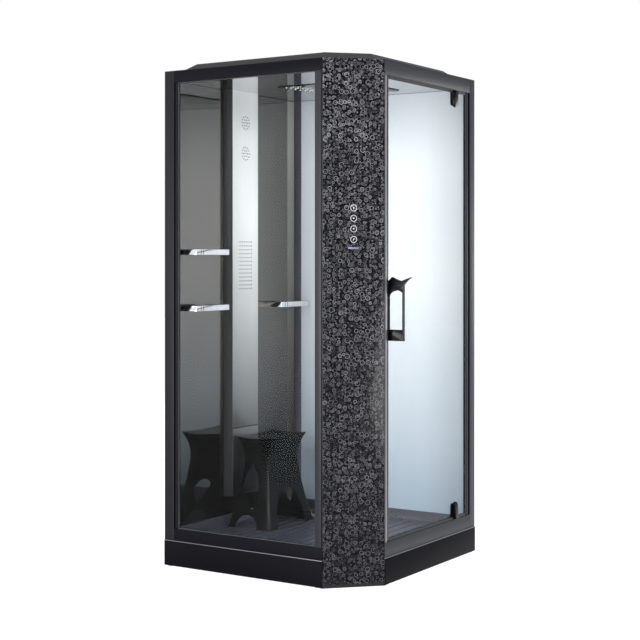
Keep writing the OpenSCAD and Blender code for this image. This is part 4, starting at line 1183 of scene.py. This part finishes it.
def repeated(pattern: Pattern, form: bpy.types.Mesh, finish: Finish, place: Matrix, count: int, span: float,
             rows: int = 1, depth: float = 0.0) -> bpy.types.Mesh:
    """Sets copies of a small form on a grid, a ring or a line.

    Args:
        pattern: How the copies are laid out.
        form: The mesh that is repeated.
        finish: Finish of the copies.
        place: Matrix that puts the pattern in the cabin's frame.
        count: Copies along the first direction.
        span: Overall length of a grid or line, or a ring's radius.
        rows: Copies along a grid's second direction.
        depth: Overall length of a grid's second direction.

    Returns:
        One plain mesh.
    """
    tree = repeat_tree(pattern)
    helper = linked("repeat_form", form)
    carrier = linked("repeat_carrier", bpy.data.meshes.new("repeat_carrier"))
    modifier = carrier.modifiers.new("repeat", "NODES")
    modifier.node_group = tree
    values = {"Form": helper, "Finish": finish.material(), "Count": count, "Rows": rows,
              "Span": span, "Depth": depth}
    for item in tree.interface.items_tree:
        if item.in_out == "INPUT":
            modifier[item.identifier] = values[item.name]
    mesh = evaluated(carrier)
    bpy.data.objects.remove(helper)
    mesh.transform(place)
    return mesh


def islands(thing: bpy.types.Object) -> list[tuple[Vector, Vector]]:
    """Finds the separate solids of a node.

    Args:
        thing: The CAD node.

    Returns:
        Lowest and highest corner of each solid in the cabin's frame, ordered by the lowest.
    """
    form = bmesh.new()
    form.from_mesh(thing.data)
    form.transform(thing.matrix_world)
    bmesh.ops.remove_doubles(form, verts=form.verts, dist=MERGE)
    left, found = set(form.verts), []
    while left:
        front, seen = [left.pop()], []
        while front:
            vertex = front.pop()
            seen.append(vertex.co.copy())
            for near in (edge.other_vert(vertex) for edge in vertex.link_edges):
                if near in left:
                    left.remove(near)
                    front.append(near)
        found.append((Vector(map(min, zip(*seen))), Vector(map(max, zip(*seen)))))
    form.free()
    return sorted(found, key=lambda corners: tuple(corners[0]))


def middle_of(node: str) -> Pair:
    """Middle of a CAD node, seen from above."""
    low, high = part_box(node)
    return (low.x + high.x) / 2, (low.y + high.y) / 2


class SubAssembly:
    """A group of the cabin's pieces that ride on one body and are dressed together.

    Attributes:
        body: The body that they ride on.
    """

    body: ClassVar[Body] = Body.CABIN

    def build(self) -> None:
        """Builds every piece of the group."""
        raise NotImplementedError

    def add(self, name: str, mesh: bpy.types.Mesh, finish: Finish, *replaced: str) -> bpy.types.Object:
        """Puts a finished mesh on the group's body.

        Args:
            name: Name of the piece.
            mesh: Its mesh, in the cabin's frame.
            finish: Its finish.
            *replaced: CAD nodes that it stands for.

        Returns:
            The piece.
        """
        mesh.materials.clear()
        mesh.materials.append(finish.material())
        piece = linked(name, mesh)
        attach(piece, self.body.value)
        if replaced:
            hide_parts(*replaced)
        LOG.info("%s: %d faces on %s", name, len(mesh.polygons), self.body.value)
        return piece

    def round_off(self, piece: bpy.types.Object, width: float, segments: int = 2,
                  angle: float = 30.0) -> None:
        """Rounds a piece's sharp edges with a live bevel and shades it smooth.

        Args:
            piece: The piece.
            width: Width of the bevel.
            segments: Faces across the bevel.
            angle: Edges sharper than this many degrees are rounded.
        """
        for face in piece.data.polygons:
            face.use_smooth = True
        bevel = piece.modifiers.new("soft_edges", "BEVEL")
        bevel.width, bevel.segments = width, segments
        bevel.limit_method, bevel.angle_limit = "ANGLE", math.radians(angle)
        bevel.harden_normals = True

    def cad_form(self, node: str) -> bmesh.types.BMesh:
        """A working copy of a CAD node's mesh, joined up and with its flat faces merged."""
        form = bmesh.new()
        form.from_mesh(frame["nodes"][node].data)
        bmesh.ops.remove_doubles(form, verts=form.verts, dist=MERGE)
        bmesh.ops.dissolve_limit(form, angle_limit=math.radians(FLAT), verts=form.verts, edges=form.edges)
        return form

    def softened(self, node: str, finish: Finish, width: float, segments: int = 2,
                 angle: float = 30.0) -> None:
        """Replaces a CAD node by a copy of it with rounded edges.

        Args:
            node: The CAD node.
            finish: Its finish.
            width: Width of the rounding.
            segments: Faces across the rounding.
            angle: Edges sharper than this many degrees are rounded.
        """
        piece = self.add(f"{node}_soft", as_mesh(self.cad_form(node), node), finish, node)
        self.round_off(piece, width, segments, angle)

    def screw_lines(self, name: str, starts: Iterable[Point], count: int, span: float) -> None:
        """Sets upright lines of socket screws that face the dark wall.

        Args:
            name: Name of the piece.
            starts: Place of the lowest screw of each line.
            count: Screws in a line.
            span: Length of a line.
        """
        lines = [repeated(Pattern.LINE, socket_screw(), SCREW_STEEL,
                          seated(start, (-1, 0, 0), Axis.Z.value), count, span) for start in starts]
        self.add(name, joined(name, lines), SCREW_STEEL)


@dataclass
class CadDress:
    """Gives every CAD node the finish of its slot.

    Attributes:
        slots: Each CAD node's slot, from the record.
    """

    slots: dict[str, str] = field(default_factory=lambda: {
        part["node"]: part["material_slot"] for part in frame["record"]["subparts"]})

    def build(self) -> None:
        """Assigns the finishes and reports each node."""
        for node, thing in frame["nodes"].items():
            finish = FINISHES[Slot(self.slots[node])]
            if not thing.data.materials:
                thing.data.materials.append(finish.material())
            for index in range(len(thing.material_slots)):
                thing.material_slots[index].material = finish.material()
            LOG.info("%s: %s", node, finish.slot.value)


@dataclass
class Framework(SubAssembly):
    """Posts, rails and jambs with the small radius of extruded profiles.

    Attributes:
        radius: Width of the rounding on the profiles' edges.
        dark: Nodes of dark profile.
        front: Nodes of the duller dark profile over and under the fixed glass.
        grey: Nodes of grey profile.
    """

    radius: float = 0.9 * MM
    dark: tuple[str, ...] = ("post_left", "post_rear", "bottom_rails_rear", "top_rails_rear")
    front: tuple[str, ...] = ("bottom_rail_front", "top_rail_front")
    grey: tuple[str, ...] = ("post_right", "door_sill", "top_rail_door", "glass_jamb", "pivot_jamb")

    def build(self) -> None:
        """Rounds every profile, each in its own finish."""
        for nodes, finish in ((self.dark, FINISHES[Slot.DARK_PROFILE]), (self.front, DARK_RAIL),
                              (self.grey, FINISHES[Slot.GREY_PROFILE])):
            for node in nodes:
                self.softened(node, finish, self.radius)
        self.softened("latch_jamb", SILVER_JAMB, self.radius)
        self.softened("glass_channel", CHANNEL, self.radius)
        self.softened("glass_gasket", GASKET, self.radius / 3)
        self.softened("corner_trim", CORNER_TRIM, self.radius)


@dataclass
class Base(SubAssembly):
    """Skirts, trim, tray, support frame and drain.

    Attributes:
        radius: Rounding of the skirts and the tray.
        trim_radius: Rounding of the trim strips.
        strainer_ring: Count, distance from the middle, length and width of the drain cover's slots.
        slot_height: How far a slot's dark inlay stands proud.
    """

    radius: float = 1.2 * MM
    trim_radius: float = 0.7 * MM
    strainer_ring: tuple[int, float, float, float] = (20, 29 * MM, 17 * MM, 3.4 * MM)
    slot_height: float = 0.25 * MM

    def build(self) -> None:
        """Builds the base from the skirts inwards."""
        for node in ("skirt_front", "skirt_door"):
            self.softened(node, FINISHES[Slot.SKIRT], self.trim_radius)
        self.softened("trim_strips", SATIN_TRIM, self.trim_radius)
        self.softened("tray", FINISHES[Slot.TRAY_ACRYLIC], self.radius)
        self.softened("support_frame", FINISHES[Slot.STEEL_FRAME], self.radius)
        self.drain()

    def drain(self) -> None:
        """Lays a ring of slots on the drain cover."""
        middle = (*middle_of("drain_cover"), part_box("drain_cover")[1].z)
        count, radius, length, width = self.strainer_ring
        bar = disc("slot_bar", width / 2, self.slot_height, 10)
        bar.transform(Matrix.Diagonal((length / width, 1.0, 1.0, 1.0)))
        slots = repeated(Pattern.RING, bar, FINISHES[Slot.RUBBER], seated(middle, Axis.Z.value, Axis.X.value),
                         count, radius)
        self.add("drain_slots", slots, FINISHES[Slot.RUBBER])


@dataclass
class ControlColumn(SubAssembly):
    """Patterned glass panel with its touch marks, and the housing behind it.

    Attributes:
        radius: Polish of the panel's edges.
        ring_heights: Heights of the rings that hold a dot.
        bar_height: Height of the lowest ring, which holds a slanted bar.
        ring: Outer radius and line width of a ring.
        ring_sides: Sides of a ring.
        dot: Radius of the dot in a ring.
        bar: Length and width of the slanted bar.
        bar_lean: Lean of the bar in degrees.
        display: Width and height of the display.
        display_z: Height of the display's middle.
        print_depth: Thickness of the print.
        toe_size: The toe strip's recess and depth, and the thickness and reach of its lips.
        toe_gap: Clearance round the toe strip.
        face: Place of the print along X and Y, read from its CAD node.
    """

    radius: float = 1.0 * MM
    ring_heights: tuple[float, ...] = (1.456, 1.499, 1.541)
    bar_height: float = 1.413
    ring: Pair = (13.5 * MM, 1.5 * MM)
    ring_sides: int = 48
    dot: float = 2.6 * MM
    bar: Pair = (10.0 * MM, 2.2 * MM)
    bar_lean: float = 55.0
    display: Pair = (44 * MM, 5 * MM)
    display_z: float = 1.378
    print_depth: float = 0.2 * MM
    toe_size: tuple[float, float, float, float] = (0.8 * MM, 8 * MM, 1.8 * MM, 9 * MM)
    toe_gap: float = 0.2 * MM
    face: Pair = field(init=False)

    def build(self) -> None:
        """Builds the panel, the housing, the touch marks and the display."""
        self.softened("control_panel", FINISHES[Slot.PATTERNED_GLASS], self.radius)
        self.softened("control_housing", FINISHES[Slot.DARK_PROFILE], self.radius)
        x, y = middle_of("touch_marks")
        self.face = (x - self.print_depth / 2, y + self.print_depth / 2)
        marks = [self.on_face(self.mark_ring(), z) for z in (*self.ring_heights, self.bar_height)]
        marks += [self.on_face(self.mark_dot(), z) for z in self.ring_heights]
        marks.append(self.on_face(self.mark_bar(self.bar, self.bar_lean), self.bar_height))
        self.add("touch_rings", joined("touch_rings", marks), FINISHES[Slot.PRINT], "touch_marks")
        screen = self.on_face(self.mark_bar(self.display, 0.0), self.display_z)
        self.add("display_window", screen, DISPLAY_LIGHT)
        self.toe()

    def toe(self) -> None:
        """Closes the panel's foot: a strip under the panel and a lip behind each skirt's end."""
        low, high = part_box("control_panel")
        skirt_end, door_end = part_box("skirt_front")[1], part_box("skirt_door")[0]
        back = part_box("support_frame")[0].z - self.toe_gap
        recess, depth, lip, reach = self.toe_size
        strip = prism("toe_strip", ((low.x, low.y + recess), (high.x - recess, high.y),
                                    (high.x - depth, high.y), (low.x, low.y + depth)),
                      low.z - 2 * self.toe_gap, Matrix.Translation((0, 0, self.toe_gap)))
        corners = ((skirt_end.x - reach, skirt_end.y + self.toe_gap, low.x, skirt_end.y + lip),
                   (door_end.x - lip, high.y, door_end.x - self.toe_gap, door_end.y + reach))
        lips = [prism("toe_lip", ((x0, y0), (x1, y0), (x1, y1), (x0, y1)), back - self.toe_gap,
                      Matrix.Translation((0, 0, self.toe_gap))) for x0, y0, x1, y1 in corners]
        self.add("panel_toe", joined("panel_toe", [strip, *lips]), FINISHES[Slot.RUBBER])

    def on_face(self, mesh: bpy.types.Mesh, height: float) -> bpy.types.Mesh:
        """Puts a flat mark on the cut-off corner's face."""
        mesh.transform(seated((*self.face, height), (1, -1, 0), (1, 1, 0)))
        return mesh

    def mark_ring(self) -> bpy.types.Mesh:
        """A thin raised ring."""
        outer, line = self.ring
        inner, sides = outer - line, self.ring_sides
        form = bmesh.new()
        depth = self.print_depth
        for radius, height in ((inner, 0.0), (outer, 0.0), (outer, depth), (inner, depth)):
            bmesh.ops.create_circle(form, segments=sides, radius=radius,
                                    matrix=Matrix.Translation((0, 0, height)))
        form.verts.ensure_lookup_table()
        for band in range(4):
            lower, upper = band * sides, (band + 1) % 4 * sides
            for k in range(sides):
                after = (k + 1) % sides
                corners = (lower + k, lower + after, upper + after, upper + k)
                form.faces.new([form.verts[i] for i in corners])
        bmesh.ops.recalc_face_normals(form, faces=form.faces)
        return as_mesh(form, "mark_ring")

    def mark_dot(self) -> bpy.types.Mesh:
        """A small raised dot."""
        return disc("mark_dot", self.dot, self.print_depth, 20)

    def mark_bar(self, size: Pair, lean: float) -> bpy.types.Mesh:
        """A raised bar that leans by an angle in degrees."""
        w, h = size[0] / 2, size[1] / 2
        turned = Matrix.Rotation(math.radians(lean), 4, "Z")
        return prism("mark_bar", ((-w, -h), (w, -h), (w, h), (-w, h)), self.print_depth, turned)


@dataclass
class ShowerColumn(SubAssembly):
    """Bright plates with their body jets, and the cover on the column's back.

    Attributes:
        radius: Rounding of the plates.
        jet_field: Columns and rows of the small jets.
        pitch: Distance between small jets.
        field_z: Height of the lowest row.
        jets: Heights of the round jet groups.
        jet_ring: Radius of a group's inner ring, the outer one being twice as wide.
        ring_counts: Jets in a group's inner and outer ring.
        screws: Count of screws along each side of the back cover.
        screw_edge: Distance of the screws from the cover's edges.
    """

    radius: float = 0.8 * MM
    jet_field: tuple[int, int] = (6, 13)
    pitch: float = 18 * MM
    field_z: float = 1.197
    jets: tuple[float, ...] = (1.821, 1.963)
    jet_ring: float = 14.5 * MM
    ring_counts: tuple[int, int] = (6, 12)
    screws: int = 8
    screw_edge: float = 10 * MM

    def build(self) -> None:
        """Builds the plates, the jets and the back cover's screws."""
        for node in ("column_plate", "column_lower_plate"):
            self.softened(node, FINISHES[Slot.BRUSHED_PLATE], self.radius)
        self.softened("column_body", COLUMN_SIDE, self.radius)
        self.softened("cable_gland", FINISHES[Slot.BLACK_PLASTIC], self.radius)
        self.softened("mixing_valve", FINISHES[Slot.BRASS], self.radius / 2)
        self.softened("valve_manifold", FINISHES[Slot.BRASS], self.radius)
        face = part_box("column_plate")[1].x
        self.add("jet_flanges", self.jets_of(nozzle_flange(), JET_FLANGE, face), JET_FLANGE,
                 "column_nozzles")
        self.add("jet_tips", self.jets_of(nozzle_tip(), NOZZLE_TIP, face), NOZZLE_TIP)
        self.cover_screws()

    def jets_of(self, form: bpy.types.Mesh, finish: Finish, face: float) -> bpy.types.Mesh:
        """Sets one form at every jet of the column.

        Args:
            form: The flange or the tip.
            finish: Its finish.
            face: Place of the plates' face along X.

        Returns:
            All the copies as one mesh.
        """
        columns, rows = self.jet_field
        span, depth = (columns - 1) * self.pitch, (rows - 1) * self.pitch
        centre = (face, 0.0, self.field_z + depth / 2)
        outwards, across = Axis.X.value, Axis.Y.value
        meshes = [repeated(Pattern.GRID, form.copy(), finish, seated(centre, outwards, across), columns, span,
                           rows, depth)]
        for height in self.jets:
            spot = seated((face, 0.0, height), outwards, across)
            for step, count in enumerate(self.ring_counts, start=1):
                meshes.append(repeated(Pattern.RING, form.copy(), finish, spot, count, step * self.jet_ring))
            single = form.copy()
            single.transform(spot)
            meshes.append(single)
        return joined("jets", meshes)

    def cover_screws(self) -> None:
        """Sets a line of socket screws along both sides of the back cover."""
        low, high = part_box("column_back_cover")
        span = high.z - low.z - 4 * self.screw_edge
        starts = [(low.x, y, low.z + 2 * self.screw_edge)
                  for y in (low.y + self.screw_edge, high.y - self.screw_edge)]
        self.screw_lines("cover_screws", starts, self.screws, span)


def small_part(name: str, sides: int, *profile: Pair) -> bpy.types.Mesh:
    """Turns a small part from an outline of radii and heights in millimetres."""
    return lathe(name, [(radius * MM, height * MM) for radius, height in profile], sides)


def nozzle_flange() -> bpy.types.Mesh:
    """The rounded flange of one jet."""
    return small_part("nozzle_flange", 16, (0, 0), (3.5, 0), (3.5, 0.4), (3.0, 0.8), (2.3, 0.8),
                      (2.3, 0.2), (0, 0.2))


def nozzle_tip() -> bpy.types.Mesh:
    """The soft tip of one jet, with its bore."""
    return small_part("nozzle_tip", 12, (0, 0.1), (2.2, 0.1), (2.2, 1.1), (1.5, 1.9), (0.8, 1.9),
                      (0.7, 0.8), (0, 0.8))


def socket_screw() -> bpy.types.Mesh:
    """The head of one socket screw."""
    return small_part("socket_screw", 18, (0, 0), (3.6, 0), (3.6, 0.9), (3.0, 1.6), (1.5, 1.6),
                      (1.5, 0.6), (0, 0.6))


@dataclass
class Ceiling(SubAssembly):
    """Mirror ceiling, rain head with its nozzles, and the roof.

    Attributes:
        radius: Rounding of the plates.
        nozzles: Nozzles along each side of the rain head.
        edge: Distance of the outer nozzles from the rain head's edge.
        roof_radius: Rounding of the roof.
        roof_angle: Edges of the roof sharper than this many degrees are rounded.
    """

    radius: float = 0.9 * MM
    nozzles: int = 10
    edge: float = 30 * MM
    roof_radius: float = 3 * MM
    roof_angle: float = 8.0

    def build(self) -> None:
        """Builds the rain head, its nozzles and the roof."""
        self.softened("rain_head", DARK_RAIN_PLATE, self.radius)
        self.softened("roof_cover", FINISHES[Slot.ROOF_PLASTIC], self.roof_radius, 3, self.roof_angle)
        low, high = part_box("rain_head")
        span = high.x - low.x - 2 * self.edge
        spot = seated((*middle_of("rain_head"), low.z), (0, 0, -1), Axis.X.value)
        for name, form, finish, replaced in (
                ("rain_flanges", nozzle_flange(), NOZZLE_FLANGE, ("rain_nozzles",)),
                ("rain_tips", nozzle_tip(), NOZZLE_TIP, ())):
            mesh = repeated(Pattern.GRID, form, finish, spot, self.nozzles, span, self.nozzles, span)
            self.add(name, mesh, finish, *replaced)


@dataclass
class Shelves(SubAssembly):
    """Glass shelves in their bright rails.

    Attributes:
        radius: Rounding of the rails.
        bands: Distances of the dark bands from a rail's end, a painted reflection on the chrome.
        band: Width of a band, and how far it stands proud.
    """

    radius: float = 1.5 * MM
    bands: tuple[float, ...] = (35 * MM, 52 * MM)
    band: Pair = (3 * MM, 0.3 * MM)

    def build(self) -> None:
        """Rounds the rails and lays dark bands on them as a painted reflection."""
        self.softened("shelf_rails", FINISHES[Slot.BRIGHT_METAL], self.radius, 3)
        rails = islands(frame["nodes"]["shelf_rails"])
        # Dark bands that stand in for dark breaks in the chrome's reflection: painted reflection
        bands = [self.reflection_band(rail, along) for rail in rails for along in self.bands]
        self.add("rail_joints", joined("rail_joints", bands), FINISHES[Slot.RUBBER])

    def reflection_band(self, rail: tuple[Vector, Vector], along: float) -> bpy.types.Mesh:
        """A dark band round the front bar of a rail: a painted break in the chrome's reflection.

        Args:
            rail: Lowest and highest corner of the rail.
            along: Distance of the band from the rail's end towards the fixed glass.

        Returns:
            The band, a little proud of the bar's face.
        """
        low, high = rail
        width, proud = self.band
        depth, height = 2 * proud, high.z - low.z - 2 * self.radius
        outline = ((-width / 2, 0.0), (width / 2, 0.0), (width / 2, height), (-width / 2, height))
        spot = seated((high.x - proud, low.y + along, low.z + self.radius), Axis.X.value, Axis.Y.value)
        return prism("rail_reflection_band", outline, depth, spot)


@dataclass
class Door(SubAssembly):
    """Fittings of the pivot door.

    Attributes:
        handle_radius: Rounding of the handles.
        clamp_radius: Rounding of the hinge clamps.
        taper: How much thinner an outer clamp is at its round end.
        clamp_height: Height of an outer clamp.
        screw_spacing: Distance between the two screws of an inner clamp.
        screw_end: Distance of the outer screws from the clamps' ends.
    """

    body: ClassVar[Body] = Body.DOOR
    handle_radius: float = 1.4 * MM
    clamp_radius: float = 1.6 * MM
    taper: float = 7 * MM
    clamp_height: float = 74 * MM
    screw_spacing: float = 32 * MM
    screw_end: float = 12 * MM

    def build(self) -> None:
        """Builds the handles and the hinge clamps."""
        black = FINISHES[Slot.BLACK_PLASTIC]
        for node in ("handle_outer", "handle_inner"):
            self.softened(node, black, self.handle_radius, 3)
        self.softened("hinge_clamps_inner", black, self.clamp_radius, 3)
        for node, finish in (("latch_seal", FINISHES[Slot.CLEAR_SEAL]), ("tail_seal", FINISHES[Slot.RUBBER])):
            self.softened(node, finish, self.clamp_radius / 2)
        self.outer_clamps()
        self.clamp_screws()

    def outer_clamps(self) -> None:
        """Tapers the outer clamps towards their round ends."""
        low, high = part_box("hinge_clamps_outer")
        glass_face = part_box("door_glass")[1].x
        form = self.cad_form("hinge_clamps_outer")
        for vertex in form.verts:
            if vertex.co.x > glass_face + MM:
                from_end = min(vertex.co.z - low.z, high.z - vertex.co.z) / self.clamp_height
                vertex.co.x -= self.taper * max(0.0, from_end) ** 2
        piece = self.add("hinge_clamps_outer_soft", as_mesh(form, "outer_clamps"), CLAMP_FACE,
                         "hinge_clamps_outer")
        self.round_off(piece, self.clamp_radius, 3)

    def clamp_screws(self) -> None:
        """Sets two socket screws on each inner clamp."""
        low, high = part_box("hinge_clamps_inner")
        middle = (low.y + high.y) / 2
        heights = (low.z + self.screw_end, high.z - self.screw_end - self.screw_spacing)
        self.screw_lines("clamp_screws", [(low.x, middle, z) for z in heights], 2, self.screw_spacing)


@dataclass
class Stool(SubAssembly):
    """Moulded stool with a waist, lens windows and arches between its feet.

    Attributes:
        seat: Seat size along X and Y.
        foot: Size over the feet along X and Y.
        waist_height: Height of the narrowest place.
        waist_in: How far the waist is drawn in from the seat's edge.
        wall: Thickness of the wall.
        dish: Depth of the dished seat.
        corner: Radius of the upright edges.
        lens: Width, height, lowest point and lean of the windows.
        window_shift: Distance of the windows from the middle, towards the column.
        door_arch: Width and height of the arch on the door side.
        column_arch: Width and height of the arch on the column side.
        low_arch: Width and height of the arch under the window that faces the fixed glass.
        flare: Powers of the curves from the waist to the seat and to the feet.
        steps: Rings from the floor to the seat.
        seat_rings: Sizes of the rings on the seat, as shares of its rim.
        corner_steps: Faces round an upright edge.
        side_steps: Faces along a side between two upright edges.
        lens_steps: Faces along each side of a window.
        arch_steps: Faces along an arch.
        arch_below: How far an arch's cutter reaches below the feet.
        weld: Corners of the cut shell nearer than this are merged.
        edge: Rounding of the cut edges.
        edge_angle: Edges sharper than this many degrees are rounded.
        height: Height of the stool, read from its CAD node.
    """

    body: ClassVar[Body] = Body.STOOL
    seat: Pair = (0.190, 0.304)
    foot: Pair = (0.234, 0.356)
    waist_height: float = 0.300
    waist_in: float = 0.030
    wall: float = 0.005
    dish: float = 0.007
    corner: float = 0.007
    lens: tuple[float, float, float, float] = (0.100, 0.232, 0.076, 0.040)
    window_shift: float = 0.020
    door_arch: Pair = (0.226, 0.170)
    column_arch: Pair = (0.296, 0.300)
    low_arch: Pair = (0.120, 0.058)
    flare: Pair = (2.0, 1.4)
    steps: int = 48
    seat_rings: tuple[float, ...] = (0.93, 0.8, 0.62, 0.42, 0.2)
    corner_steps: int = 6
    side_steps: int = 10
    lens_steps: int = 28
    arch_steps: int = 32
    arch_below: float = 5 * MM
    weld: float = 0.02 * MM
    edge: float = 1.3 * MM
    edge_angle: float = 50.0
    height: float = field(init=False)

    def build(self) -> None:
        """Cuts the windows and arches out of the moulded shell."""
        low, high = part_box("stool")
        self.height = high.z - low.z
        shell = linked("stool_shell", self.shell())
        walls = shell.modifiers.new("walls", "SOLIDIFY")
        walls.thickness, walls.offset = self.wall, -1.0
        walls.use_even_offset = True
        cutters = [linked(f"stool_cutter_{k}", mesh) for k, mesh in enumerate(self.cutters())]
        for cutter in cutters:
            cut = shell.modifiers.new(cutter.name, "BOOLEAN")
            cut.operation, cut.object, cut.solver = "DIFFERENCE", cutter, "EXACT"
        mesh = evaluated(shell)
        for cutter in cutters:
            bpy.data.objects.remove(cutter)
        form = bmesh.new()
        form.from_mesh(mesh)
        bmesh.ops.remove_doubles(form, verts=form.verts, dist=self.weld)
        form.transform(Matrix.Translation((*middle_of("stool"), low.z)))
        piece = self.add("stool_moulded", as_mesh(form, "stool_moulded"), FINISHES[Slot.STOOL_PLASTIC],
                         "stool")
        self.round_off(piece, self.edge, angle=self.edge_angle)

    def half(self, seat: float, foot: float, height: float) -> float:
        """Half width of the stool at a height.

        Args:
            seat: Seat size along the same direction.
            foot: Size over the feet along that direction.
            height: Height above the stool's feet.

        Returns:
            The half width.
        """
        waist = seat / 2 - self.waist_in
        if height > self.waist_height:
            share = (height - self.waist_height) / (self.height - self.waist_height)
            return waist + (seat / 2 - waist) * share ** self.flare[0]
        share = (self.waist_height - height) / self.waist_height
        return waist + (foot / 2 - waist) * share ** self.flare[1]

    def top(self, x: float, y: float) -> float:
        """Height of the dished seat over a place given in shares of its half widths."""
        return self.height - self.dish * (1.0 - x * x * y * y)

    def shell(self) -> bpy.types.Mesh:
        """The outer skin: rings up the sides, then rings into the middle of the seat."""
        form = bmesh.new()
        rings = []
        for k in range(self.steps + 1):
            rings.append([form.verts.new(p) for p in self.ring(k / self.steps, 1.0)])
        for inward in self.seat_rings:
            rings.append([form.verts.new(p) for p in self.ring(1.0, inward)])
        count = len(rings[0])
        for lower, upper in zip(rings, rings[1:]):
            for k in range(count):
                after = (k + 1) % count
                form.faces.new((lower[k], lower[after], upper[after], upper[k]))
        form.faces.new(rings[-1])
        bmesh.ops.recalc_face_normals(form, faces=form.faces)
        return as_mesh(form, "stool_shell")

    def ring(self, rise: float, inward: float) -> list[Point]:
        """One ring of the shell.

        Args:
            rise: Share of the way up to the seat.
            inward: Size of the ring as a share of the whole.

        Returns:
            Its points, counterclockwise from above, with round corners.
        """
        height = rise * self.height
        a, b = (self.half(seat, foot, height) for seat, foot in zip(self.seat, self.foot))
        points = []
        for index, (sx, sy) in enumerate(((1, -1), (1, 1), (-1, 1), (-1, -1))):
            for step in range(self.corner_steps + 1):
                turn = math.radians(-90 + 90 * index + 90 * step / self.corner_steps)
                x = sx * (a - self.corner) + self.corner * math.cos(turn)
                y = sy * (b - self.corner) + self.corner * math.sin(turn)
                points.append((x * inward, y * inward, rise * self.top(inward * x / a, inward * y / b)))
            points.extend(self.side(points[-1], index, a, b, rise, inward))
        return points

    def side(self, start: Point, index: int, a: float, b: float, rise: float, inward: float) -> list[Point]:
        """Points along the straight side that follows a corner."""
        x_end, y_end = a - self.corner, b - self.corner
        ends = ((a, y_end), (-x_end, b), (-a, -y_end), (x_end, -b))
        goal = (ends[index][0] * inward, ends[index][1] * inward)
        inner = []
        for step in range(1, self.side_steps):
            share = step / self.side_steps
            x, y = start[0] + (goal[0] - start[0]) * share, start[1] + (goal[1] - start[1]) * share
            inner.append((x, y, rise * self.top(x / a, y / b)))
        return inner

    def cutters(self) -> list[bpy.types.Mesh]:
        """Prisms that cut the windows and arches."""
        reach = self.foot[1]
        through = seated((-self.window_shift, reach, 0.0), (0, -1, 0), Axis.X.value)
        to_glass = seated((-self.window_shift, 0.0, 0.0), (0, -1, 0), Axis.X.value)
        to_door = seated((0.0, 0.0, 0.0), Axis.X.value, Axis.Y.value)
        to_column = seated((-reach, 0.0, 0.0), Axis.X.value, Axis.Y.value)
        return [prism("lens_cutter", self.lens_outline(), 2 * reach, through),
                prism("door_arch_cutter", self.arch_outline(*self.door_arch), reach, to_door),
                prism("column_arch_cutter", self.arch_outline(*self.column_arch), reach, to_column),
                prism("low_arch_cutter", self.arch_outline(*self.low_arch), reach, to_glass)]

    def lens_outline(self) -> list[Pair]:
        """Outline of a window from its lower tip, its upper tip leaning towards the column."""
        width, height, low, lean = self.lens
        count = self.lens_steps

        def edge(step: int, side: int) -> Pair:
            """A point of the outline on the side 1 or -1."""
            swell = side * width / 2 * math.sin(math.pi * step / count)
            return swell - lean * (step / count - 0.5), low + height * step / count

        right = [edge(step, 1) for step in range(count + 1)]
        left = [edge(step, -1) for step in range(count - 1, 0, -1)]
        return right + left

    def arch_outline(self, width: float, height: float) -> list[Pair]:
        """Outline of an arch that starts a little below the feet."""
        turns = [math.pi * step / self.arch_steps for step in range(1, self.arch_steps)]
        arc = [(width / 2 * math.cos(turn), height * math.sin(turn)) for turn in turns]
        return [(width / 2, -self.arch_below), *arc, (-width / 2, -self.arch_below)]


def main() -> None:
    """Builds the studio and every part of the cabin in order."""
    logging.basicConfig(level=logging.INFO, format="%(name)s %(message)s")
    Studio().build()
    CadDress().build()
    groups = (Framework(), Base(), ControlColumn(), ShowerColumn(), Ceiling(), Shelves(), Door(), Stool())
    for group in groups:
        group.build()


if __name__ == "__main__":
    main()
